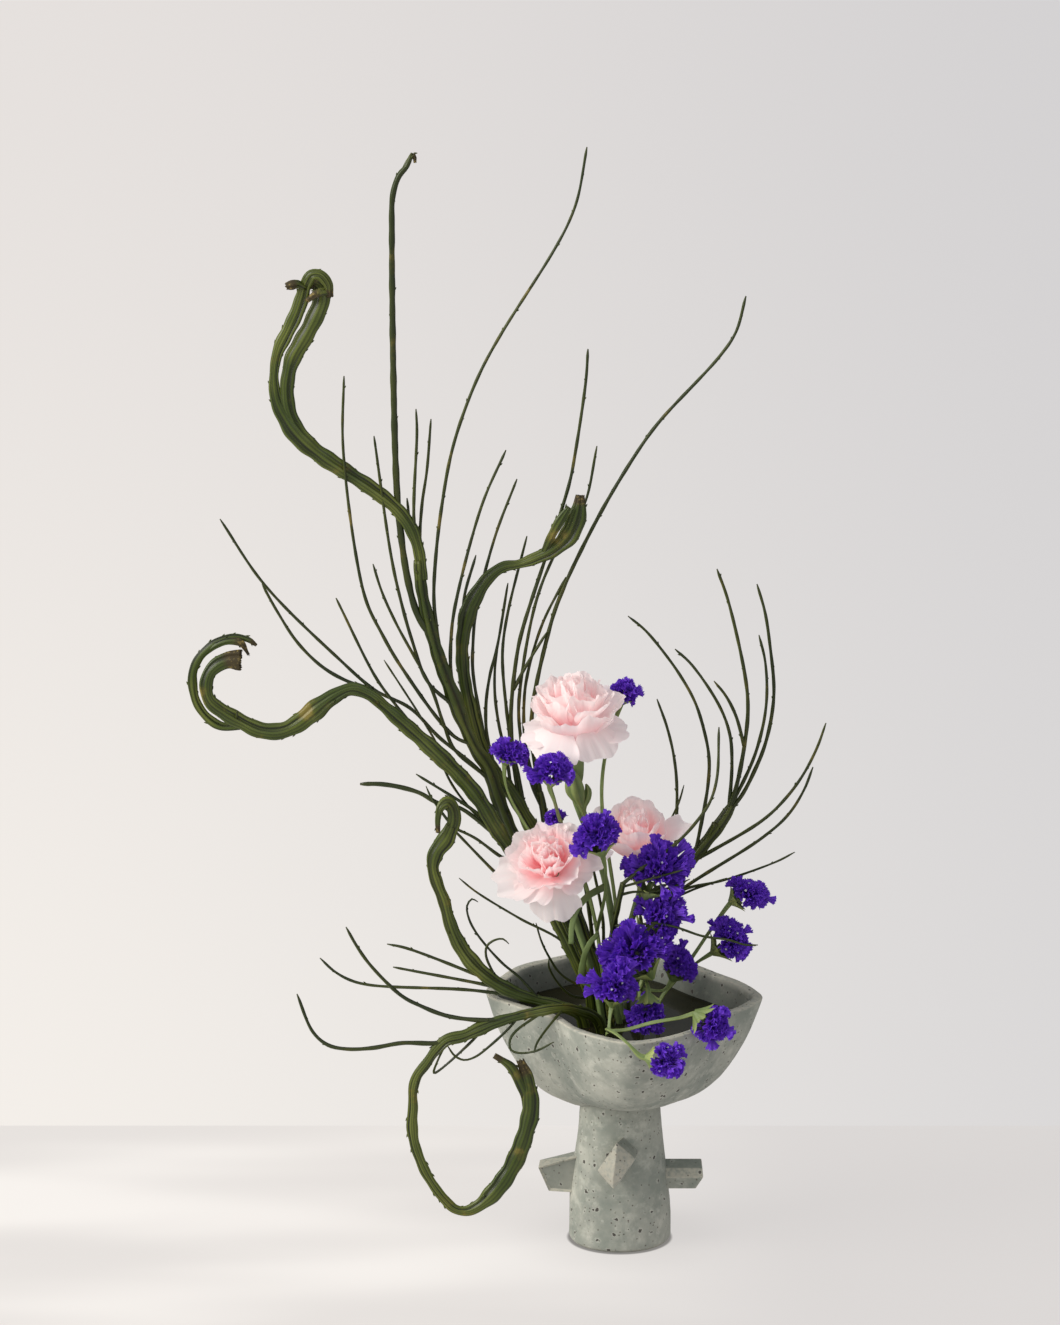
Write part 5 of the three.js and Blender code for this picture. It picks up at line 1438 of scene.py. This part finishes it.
def add_floret(mould, root, mouth, radius, draw, fade):
    """A pleated papery cup, pressed to a fan, with a crinkled rim."""
    direction = unit(mouth - root)
    side = unit(np.cross(direction, unit(np.array([draw.uniform(-1, 1) for _ in range(3)]))))
    up = np.cross(side, direction)
    length = np.linalg.norm(mouth - root)
    angle = 2 * math.pi * np.arange(FLORET_SIDES) / FLORET_SIDES
    phase = draw.random() * 6.28
    pleats = np.cos(draw.choice([5, 6, 7]) * angle + phase)
    crimp = np.cos(14 * angle + 2 * phase)
    narrow = draw.uniform(0.5, 0.9)
    rows = []
    for share, spread, depth in FLORET_ROWS:
        r = radius * spread * (1 + depth * pleats)
        lift = length * share + depth * radius * (0.5 * crimp - 0.5 * pleats)
        rows.append(
            root
            + side * (r * np.cos(angle))[:, None]
            + up * (r * narrow * np.sin(angle))[:, None]
            + direction * lift[:, None]
        )
    along = np.array([row[0] for row in FLORET_ROWS])[:, None]
    crest = np.clip(0.5 + 0.5 * pleats, 0, 1)[None, :]
    mould.grid(
        np.array(rows), round_columns=True, along=along,
        # Random tone, with a painted highlight on the pleats' crests towards the rim.
        tone=draw.random() * 0.6 + 0.4 * crest * along, fade=fade * (1 - along),
    )
    if draw.random() < FLOWERING:
        heart = root + direction * length * 0.9
        for i in range(FLOWER_PETALS):
            turn = 2 * math.pi * i / FLOWER_PETALS + phase
            out = side * math.cos(turn) + up * math.sin(turn)
            aside = np.cross(direction, out)
            tip = heart + out * 0.8 + direction * 0.6
            mould.add(
                [heart, heart + out * 0.5 + aside * 0.3, tip, heart + out * 0.5 - aside * 0.3],
                [[0, 1, 2, 3]], along=1.0, tone=0.5, speck=1.0,
            )


DOME = 1.42  # height of the part of a head that cups cover, on a ball with a radius of 1
OLD_BELOW = -0.25  # the height on that ball under which the cups are old and green


def head_mesh(head, crowding, radius):
    """A head: papery cups crowded over a dome, older and greener ones underneath."""
    centre, stretch, axis = head_frame(head)
    draw = random.Random(100 + head)
    mould = Mould("along", "tone", "speck", "fade")
    turn = turned_to(axis)
    count = int(STATICE_HEADS[head - 1][3] * crowding)
    shift = Vector((head * 3.7, 0, 0))
    full = 0.84 + 0.008 * stretch.mean()
    for i in range(count):
        height = 1 - DOME * (i + 0.5) / count
        angle = i * GOLDEN_ANGLE + head + 0.5 * draw.random()
        flat = math.sqrt(1 - height * height)
        radial = turn @ np.array([flat * math.cos(angle), flat * math.sin(angle), height])
        lump = noise.noise(Vector(radial) * 1.6 + shift)
        rim = radial * stretch * max(full + 0.85 * lump, 0.6) * draw.uniform(0.9, 1.06)
        root = centre + rim * 0.3 - axis * 1.2
        aside = np.array([draw.uniform(-1, 1) for _ in range(3)]) * radius * 0.2
        add_floret(
            mould, root, centre + rim + aside, radius * draw.uniform(0.75, 1.3), draw,
            0.9 if height < OLD_BELOW else 0.15 * draw.random(),
        )
    return mould


# ---------------------------------------------------------------- vase, water, pin holder

VASE_SIDES = 192
JOINT_LIFT = np.array([[62, 0], [84.4, 8.6], [89, 7.4], [96, 4.0], [110, 0]])  # height, lift
JOINT_GROOVE = (24.3, 84.8)  # radius, height
BOWL_RINGS = (85.4, 156.5)  # the heights between which the bowl's outside has its rings
INNER_RINGS = np.arange(154, 101, -3.0)  # heights of the rings down its inside
# Radius, height and rub of the rings under the foot and round its edge.
FOOT_RINGS = [
    (20, 0.5, 0), (24, 0.4, 0), (26.5, 0, 0.4), (28.6, 0, 0.6), (29.9, 0.6, 0.6),
    (30.9, 1.7, 0.4),
]
# Height, inset and rub of the rings over the lip.
LIP_RINGS = [
    (157.2, 0, 0.7), (157.8, 0.35, 1), (158.0, 1.0, 1), (158.05, 3, 0.8),
    (157.95, WALL - 1.0, 1), (157.6, WALL - 0.3, 0.9), (157.0, WALL, 0.4),
]
LIP_SHADE = 0.45  # painted shade on the inside at the lip, from 1 at the water, where the clay is also wet
BROAD_WANDER = 0.045  # how fast the clay's surface wanders, in waves to the mm
FINE_WANDER = (0.2, 0.12)  # the same for its finer waves, and how far they reach in mm
LUG_POCKETS = (0, 1.2, 0, 0)  # how deep the front of each lug is pressed in
POCKET_RIM = 1.7  # width left round a pocket
# How much painted shade the pressed-in front of a lug gets.
POCKET_SHADE = 0.45
LUG_EDGE, POCKET_EDGE = 0.7, 0.4  # how broad the softened edges are
LARGE_FACETS = 6  # on each lug, less rubbed than the rest
FACET_RUB = 0.12
CREEP = 0.5  # how far the water creeps up the wall


def rim_points():
    """The rim's plan as evenly spaced points, from the right-hand corner anticlockwise."""
    curve = smooth([[x, y, 0] for x, y in RIM_PLAN], 0.4, closed=True)
    curve = np.vstack([curve, curve[:1]])
    along = lengths_along(curve)
    marks = np.linspace(0, along[-1], VASE_SIDES, endpoint=False)
    return np.column_stack([np.interp(marks, along, curve[:, i]) for i in range(2)])


RIM = rim_points()
RIM_RADII = np.hypot(*RIM.T)
RIM_DIRECTIONS = RIM / RIM_RADII[:, None]


def corner_radius(height):
    """The bowl's radius towards its right-hand corner."""
    return float(np.interp(height, *np.array(BOWL_CURVE).T))


def bowl_ring(height, inset):
    """The bowl's section: round at the joint and growing into the rim's plan."""
    grown = (corner_radius(height) - JOINT_RADIUS) / (RIM_CORNER_RADIUS - JOINT_RADIUS)
    radii = JOINT_RADIUS + (RIM_RADII - JOINT_RADIUS) * grown - inset
    return np.column_stack([RIM_DIRECTIONS * radii[:, None], np.full(VASE_SIDES, height)])


def round_ring(radius, height):
    """A circle on the rings' own directions."""
    return np.column_stack([RIM_DIRECTIONS * radius, np.full(VASE_SIDES, height)])


def profile_curve(profile, step):
    """A profile of pairs, rounded between its points."""
    return smooth([[a, b, 0] for a, b in profile], step)[:, :2]


BOWL_CURVE = profile_curve(BOWL_PROFILE, 2.0)
BOWL_CURVE = BOWL_CURVE[np.argsort(BOWL_CURVE[:, 0])]


def vase_rings():
    """The vase's rings from under the foot up, over the rim and down inside, with the rub of each
    and its painted shade inside the bowl, deepest at the water where the clay is wet as well.
    """
    front = -RIM_DIRECTIONS[:, 1]  # the clay is drawn up in front, where the bowl was luted on

    def drawn_up(ring, height):
        """Moves a ring near the joint up in front."""
        lift = np.interp(height, *JOINT_LIFT.T)
        return ring + np.outer(np.clip(front, 0, 1) * lift, [0, 0, 1])

    made = [(round_ring(radius, height), rub, 0) for radius, height, rub in FOOT_RINGS]
    for radius, height in profile_curve(PEDESTAL_PROFILE[1:], 1.8):
        made.append((drawn_up(round_ring(radius, height), height), 0.1, 0))
    made.append((drawn_up(round_ring(*JOINT_GROOVE), JOINT_GROOVE[1]), 0, 0))
    for height in BOWL_CURVE[:, 0]:
        if BOWL_RINGS[0] < height < BOWL_RINGS[1]:
            made.append((drawn_up(bowl_ring(height, 0), height), 0.05, 0))
    for height, inset, rub in LIP_RINGS:
        above = np.array([0, 0, max(height - RIM_HEIGHT, 0)])
        made.append((bowl_ring(min(height, RIM_HEIGHT), inset) + above, rub, 0))
    for height in INNER_RINGS:
        # Painted shade down the inside, from the lip to the water, where the clay is wet as well.
        damp = np.interp(height, [WATER_HEIGHT, RIM_HEIGHT], [1, LIP_SHADE])
        made.append((bowl_ring(height, WALL), 0, damp))
    for share in (1, 0.5):
        made.append((round_ring(FLOOR_RADIUS * share, FLOOR_HEIGHT), 0, 1))
    return [np.array(column) for column in zip(*made)]


def wander(points, scale, amount, seed=0.0):
    """Moves points by smooth noise, as hands leave a surface."""
    moved = points.reshape(-1, 3).copy()
    for point in moved:
        place = Vector((point[0] + seed, point[1], point[2])) * scale
        point += np.array(noise.noise_vector(place)) * amount
    return moved.reshape(points.shape)


def add_lug(mould, corners, pocket):
    """A hand-cut lug: flat facets with softened edges, its front pressed in by pocket mm and
    darkened there with painted shade.
    """
    shape = bmesh.new()
    for corner in corners:
        shape.verts.new(corner)
    hull = bmesh.ops.convex_hull(shape, input=shape.verts)
    loose = [v for v in hull["geom_interior"] if isinstance(v, bmesh.types.BMVert)]
    bmesh.ops.delete(shape, geom=loose, context="VERTS")
    bmesh.ops.dissolve_limit(
        shape, angle_limit=math.radians(6), verts=shape.verts[:], edges=shape.edges[:]
    )
    shape.normal_update()
    if pocket:
        front = min(shape.faces, key=lambda face: face.normal.y)
        bmesh.ops.inset_region(shape, faces=[front], thickness=POCKET_RIM, depth=-pocket)
    bmesh.ops.bevel(
        shape, geom=shape.edges[:], offset=POCKET_EDGE if pocket else LUG_EDGE, segments=2,
        affect="EDGES", profile=0.6, clamp_overlap=True,
    )
    large = sorted(face.calc_area() for face in shape.faces)[-LARGE_FACETS]
    rubbed = [
        FACET_RUB if any(face.calc_area() >= large for face in v.link_faces) else 1
        for v in shape.verts
    ]
    shape.normal_update()
    front = min(shape.faces, key=lambda face: (face.calc_area() < large, face.normal.y))
    # Painted shade in the pressed-in front.
    damp = [POCKET_SHADE if pocket and front in v.link_faces else 0.0 for v in shape.verts]
    shape.verts.index_update()
    points = np.array([v.co for v in shape.verts])
    faces = [[v.index for v in face.verts] for face in shape.faces]
    mould.add(points, faces, rubbed=rubbed, damp=damp, flat=True)
    shape.free()


# ---------------------------------------------------------------- settings of the add-on


def length_setting(name, description, default):
    """A length in metres, from a default in mm."""
    return FloatProperty(
        name=name, description=description, default=default * MM, min=0, unit="LENGTH"
    )


def colour_setting(name, description, *values):
    """A colour, from a default in display values from 0 to 255."""
    return FloatVectorProperty(
        name=name, description=description, default=srgb(*values), size=3, subtype="COLOR",
        min=0, max=1,
    )


class IkebanaSizes(bpy.types.PropertyGroup):
    """Sizes and numbers that a user would change"""

    bud_size: FloatProperty(
        name="Bud size", description="Size of the scales on the broom", default=1.0, min=0,
        subtype="FACTOR",
    )
    floret_radius: length_setting("Floret radius", "Radius of a statice cup at its mouth", 3.3)
    floret_crowding: FloatProperty(
        name="Floret crowding", description="Cups on a head, per cup of its solid", default=6.5,
        min=1,
    )
    clay_unevenness: length_setting(
        "Clay unevenness", "How far the vase's surface wanders", 0.5
    )
    seed: IntProperty(name="Seed", description="Start of every random choice", default=5)


class IkebanaColours(bpy.types.PropertyGroup):
    """Main colours of the finishes"""

    clay: colour_setting("Clay", "Main colour of the stoneware", 161, 162, 151)
    clay_shade: colour_setting("Clay shade", "Darker clouds in the stoneware", 124, 130, 121)
    clay_pale: colour_setting("Clay pale", "Pale smears on the stoneware", 194, 193, 181)
    clay_buff: colour_setting("Clay buff", "Rubbed edges and lugs", 180, 175, 159)
    clay_iron: colour_setting("Clay iron", "Iron specks in the stoneware", 70, 60, 50)
    water: colour_setting("Water", "Deep colour of the water", 22, 24, 16)
    # The furrow colour is partly painted shade and the rib colour partly painted highlight.
    broom_furrow: colour_setting("Broom furrow", "Furrows of the broom's bark", 20, 27, 3)
    broom_rib: colour_setting("Broom rib", "Ribs of the broom's bark", 95, 103, 38)
    broom_straw: colour_setting("Broom straw", "Worn ribs of the broom's bark", 136, 118, 62)
    stem: colour_setting("Stem", "Green of the flower stems", 84, 100, 50)
    petal_rim: colour_setting("Petal rim", "Outer petals and rims", 242, 234, 232)
    petal_blush: colour_setting("Petal blush", "Middle of the petals", 248, 211, 212)
    petal_heart: colour_setting("Petal heart", "Heart of the bloom", 243, 158, 164)
    violet: colour_setting("Violet", "Statice cups", 80, 18, 170)
    violet_bright: colour_setting("Bright violet", "Lit rims of the cups", 126, 74, 222)
    # The brightest of the table's painted light patches.
    table: colour_setting("Table", "The pale table", 249, 244, 239)


# ---------------------------------------------------------------- operators


def chosen():
    """The scene's settings: the sizes and the colours."""
    scene = bpy.context.scene
    return scene.ikebana_sizes, scene.ikebana_colours


class IKEBANA_OT_vase(bpy.types.Operator):
    """Builds the footed vase with its four hand-cut lugs"""

    bl_idname = "ikebana.vase"
    bl_label = "Vase"

    def execute(self, context):
        sizes, colours = chosen()
        finish = stoneware_finish({
            "clay": colours.clay, "shade": colours.clay_shade, "pale": colours.clay_pale,
            # The pit colour is painted shade in the pinholes.
            "buff": colours.clay_buff, "iron": colours.clay_iron, "pit": srgb(52, 46, 40),
            # Painted shade inside the bowl and in the lug's pocket.
            "damp": srgb(66, 71, 63),
        })
        mould = Mould("rubbed", "damp")
        noise.seed_set(sizes.seed + 1)  # 0 would take the clock
        rings, rubbed, damp = vase_rings()
        uneven = wander(rings, BROAD_WANDER, sizes.clay_unevenness / MM)
        uneven = wander(uneven, *FINE_WANDER, seed=50)
        uneven[..., 2] = np.where(rings[..., 2] < 1, rings[..., 2], uneven[..., 2])  # flat foot
        mould.tube(uneven, rubbed=rubbed[:, None], damp=damp[:, None])
        for corners, pocket in zip(LUGS, LUG_POCKETS):
            add_lug(mould, corners, pocket)
        mould.cast("Vase", finish, "stoneware", ["vase"])
        return {"FINISHED"}


class IKEBANA_OT_water(bpy.types.Operator):
    """Fills the bowl with water and finishes the pin holder in it"""

    bl_idname = "ikebana.water"
    bl_label = "Water and pin holder"

    def execute(self, context):
        _, colours = chosen()
        finish = water_finish({"deep": colours.water, "murk": srgb(46, 44, 28)})
        mould = Mould()
        top = bowl_ring(WATER_HEIGHT, WALL + GAP)
        rings = [round_ring(FLOOR_RADIUS - 1, FLOOR_HEIGHT + GAP)]
        rings += [bowl_ring(height, WALL + GAP) for height in np.arange(103, WATER_HEIGHT, 4.0)]
        rings.append(top)
        for share in (0.97, 0.9, 0.7, 0.45, 0.2):
            rings.append(top * np.array([share, share, 1]) - np.array([0, 0, CREEP]))
        mould.tube(np.array(rings))
        mould.cast("Water", finish, "water", ["water"])
        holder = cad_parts["pin_holder"]
        holder.data.materials.clear()
        holder.data.materials.append(brass_finish())
        return {"FINISHED"}


class IKEBANA_OT_broom(bpy.types.Operator):
    """Grows the seven broom branches with their crests, shoots and buds"""

    bl_idname = "ikebana.broom"
    bl_label = "Broom branches"

    def execute(self, context):
        sizes, colours = chosen()
        finish = broom_finish({
            "furrow": colours.broom_furrow, "rib": colours.broom_rib,
            "straw": colours.broom_straw, "olive": srgb(108, 94, 24), "torn": srgb(54, 45, 20),
            "fresh": srgb(58, 72, 16),
        })
        for number, grow in enumerate(BROOMS):
            branch = grow()
            draw = random.Random(sizes.seed + number)
            mould = Mould("rib", "line", "age")
            for strand in branch.strands:
                add_strand(mould, strand, draw, sizes.bud_size)
            mould.cast(branch.name + "_ribbed", finish, "broom", [branch.name])
        return {"FINISHED"}


class IKEBANA_OT_stems(bpy.types.Operator):
    """Grows the carnation and statice stems with their leaves, cups and bracts"""

    bl_idname = "ikebana.stems"
    bl_label = "Flower stems"

    def execute(self, context):
        sizes, colours = chosen()
        finish = stem_finish({
            "skin": colours.stem, "waxy": srgb(106, 124, 70), "wing": srgb(136, 146, 80),
            "bract": srgb(182, 190, 106),
        })
        for spec in CARNATION_STEMS:
            self.grow(carnation_stem(spec), "_green", finish, sizes.seed)
        for branch, heads in statice_stems():
            self.grow(branch, "_winged", finish, sizes.seed + heads[0], heads)
        return {"FINISHED"}

    def grow(self, branch, ending, finish, seed, heads=()):
        """Makes one stem with all that grows from it and the bracts under its heads."""
        draw = random.Random(seed)
        mould = Mould("rib", "age")
        for strand in branch.strands:
            add_plain_strand(mould, strand, draw)
        for head in heads:
            add_head_cup(mould, head, draw)
        mould.cast(branch.name + ending, finish, "stem", [branch.name])


class IKEBANA_OT_blooms(bpy.types.Operator):
    """Opens the three carnation blooms"""

    bl_idname = "ikebana.blooms"
    bl_label = "Carnation blooms"

    def execute(self, context):
        _, colours = chosen()
        finish = petal_finish({
            "rim": colours.petal_rim, "blush": colours.petal_blush, "heart": colours.petal_heart,
        })
        for bloom in BLOOMS:
            bloom_mesh(bloom).cast(bloom["name"] + "_petals", finish, "petal", [bloom["name"]])
        return {"FINISHED"}


class IKEBANA_OT_heads(bpy.types.Operator):
    """Opens the fifteen statice heads"""

    bl_idname = "ikebana.heads"
    bl_label = "Statice heads"

    def execute(self, context):
        sizes, colours = chosen()
        finish = statice_finish({
            # The bright violet is painted light on the cups' rims; the throat colour is painted
            # shade.
            "violet": colours.violet, "bright": colours.violet_bright,
            "throat": srgb(40, 10, 88), "cup": srgb(128, 134, 86), "speck": srgb(238, 234, 236),
        })
        for head in range(1, len(STATICE_HEADS) + 1):
            mould = head_mesh(head, sizes.floret_crowding, sizes.floret_radius / MM)
            node = f"statice_head_{head:02d}"
            mould.cast(node + "_florets", finish, "statice", [node])
        return {"FINISHED"}


# The table's section from front to back (y, z) and its columns (x), in metres.
TABLE_PROFILE = [(-2.6, 0), (0.202, 0), (0.212, -0.001), (0.216, -0.004), (0.218, -0.03)]
TABLE_COLUMNS = np.linspace(-3, 3, 13)
LAMPS = [  # name, place, size in metres, power in watts, tint
    ("Window", (-3.0, -1.3, 1.8), 2.2, 137, (1.0, 0.97, 0.92)),
    ("Ceiling", (-0.6, -0.4, 3.0), 3.4, 26, (1.0, 0.99, 0.98)),
    ("Fill", (1.0, -3.4, 1.6), 2.4, 22, (0.94, 0.96, 1.0)),
]
LAMPS_AIM = Vector((0, 0, 0.25))
SENSOR_WIDTH = 36
FOCAL_LENGTH = 181.13
SEEN_TO = 50  # metres


class IKEBANA_OT_stage(bpy.types.Operator):
    """Sets up the pale table, the soft lights and the camera"""

    bl_idname = "ikebana.stage"
    bl_label = "Table, lights and camera"

    def execute(self, context):
        _, colours = chosen()
        context.scene.view_settings.view_transform = "Standard"
        self.table(colours)
        self.lights()
        self.backdrop()
        self.camera(context)
        return {"FINISHED"}

    def table(self, colours):
        """A slab whose back edge lies a little behind the vase."""
        finish = table_finish({
            # Colours of the table's painted light and shade: its shaded patches, the painted shade
            # at the right and the painted shadow round the foot.
            "table": colours.table, "table_shade": srgb(232, 227, 223),
            "table_far": srgb(222, 218, 216), "contact": srgb(104, 102, 98),
        })
        corners = [(x, y, z) for y, z in TABLE_PROFILE for x in TABLE_COLUMNS]
        mesh = bpy.data.meshes.new("Table")
        mesh.from_pydata(corners, [], grid_faces(len(TABLE_PROFILE), len(TABLE_COLUMNS)))
        mesh.materials.append(finish)
        new_object("Table", mesh)

    def lights(self):
        """A broad soft light from the left and front, a weaker one from the right."""
        for name, place, size, power, tint in LAMPS:
            lamp = bpy.data.lights.new(name, "AREA")
            lamp.shape, lamp.size = "DISK", size
            lamp.energy, lamp.color = power, tint
            made = new_object(name, lamp)
            made.location = place
            aim = LAMPS_AIM - Vector(place)
            made.rotation_euler = aim.to_track_quat("-Z", "Y").to_euler()

    def backdrop(self):
        """A pale wall's light: warm at the left, greyer to the right and towards the top."""
        world = bpy.data.worlds.new("Pale wall")
        bpy.context.scene.world = world
        world.use_nodes = True
        wall = Nodes(world.node_tree)
        wall.tree.nodes.clear()
        across, up = wall.axes(wall.node("ShaderNodeTexCoord", output="Generated"), "XZ")
        rise = up.between(-0.36, -0.15)
        left = wall.mix(rise, srgb(246, 241, 235), srgb(230, 225, 222))
        right = wall.mix(rise, srgb(218, 216, 216), srgb(211, 209, 210))
        paint = wall.mix(across.between(-0.1, 0.11), left, right)
        shown = wall.node("ShaderNodeBackground", inputs={"Color": paint})
        soft = wall.node(
            "ShaderNodeBackground", inputs={"Color": (0.93, 0.96, 1.0), "Strength": 0.36}
        )
        seen = wall.node("ShaderNodeLightPath", output="Is Camera Ray")
        both = wall.node("ShaderNodeMixShader", inputs={0: seen, 1: soft, 2: shown})
        wall.node("ShaderNodeOutputWorld", inputs={"Surface": both})

    def camera(self, context):
        """The view the sheet is drawn from."""
        lens = bpy.data.cameras.new("Camera")
        lens.sensor_width = SENSOR_WIDTH
        lens.lens = FOCAL_LENGTH
        lens.clip_end = SEEN_TO
        made = new_object("Camera", lens)
        made.location = [value * MM for value in VIEWPOINT]
        made.rotation_euler = (math.pi / 2 - TILT, 0, 0)
        context.scene.camera = made


class IKEBANA_PT_build(bpy.types.Panel):
    """Lists the pieces of the arrangement and their settings"""

    bl_label = "Ikebana arrangement"
    bl_idname = "IKEBANA_PT_build"
    bl_space_type = "VIEW_3D"
    bl_region_type = "UI"
    bl_category = "Ikebana"

    def draw(self, context):
        for operator in OPERATORS:
            self.layout.operator(operator.bl_idname)
        for group in (context.scene.ikebana_sizes, context.scene.ikebana_colours):
            column = self.layout.column(align=True)
            for name in group.__annotations__:
                column.prop(group, name)


OPERATORS = [
    IKEBANA_OT_vase, IKEBANA_OT_water, IKEBANA_OT_broom, IKEBANA_OT_stems, IKEBANA_OT_blooms,
    IKEBANA_OT_heads, IKEBANA_OT_stage,
]
CLASSES = [IkebanaSizes, IkebanaColours, *OPERATORS, IKEBANA_PT_build]


def register():
    for part in CLASSES:
        bpy.utils.register_class(part)
    bpy.types.Scene.ikebana_sizes = PointerProperty(type=IkebanaSizes)
    bpy.types.Scene.ikebana_colours = PointerProperty(type=IkebanaColours)


def unregister():
    del bpy.types.Scene.ikebana_colours
    del bpy.types.Scene.ikebana_sizes
    for part in reversed(CLASSES):
        bpy.utils.unregister_class(part)


def main():
    """Builds every piece in turn."""
    register()
    for operator in OPERATORS:
        group, name = operator.bl_idname.split(".")
        getattr(getattr(bpy.ops, group), name)()
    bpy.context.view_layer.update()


if __name__ == "__main__":
    main()
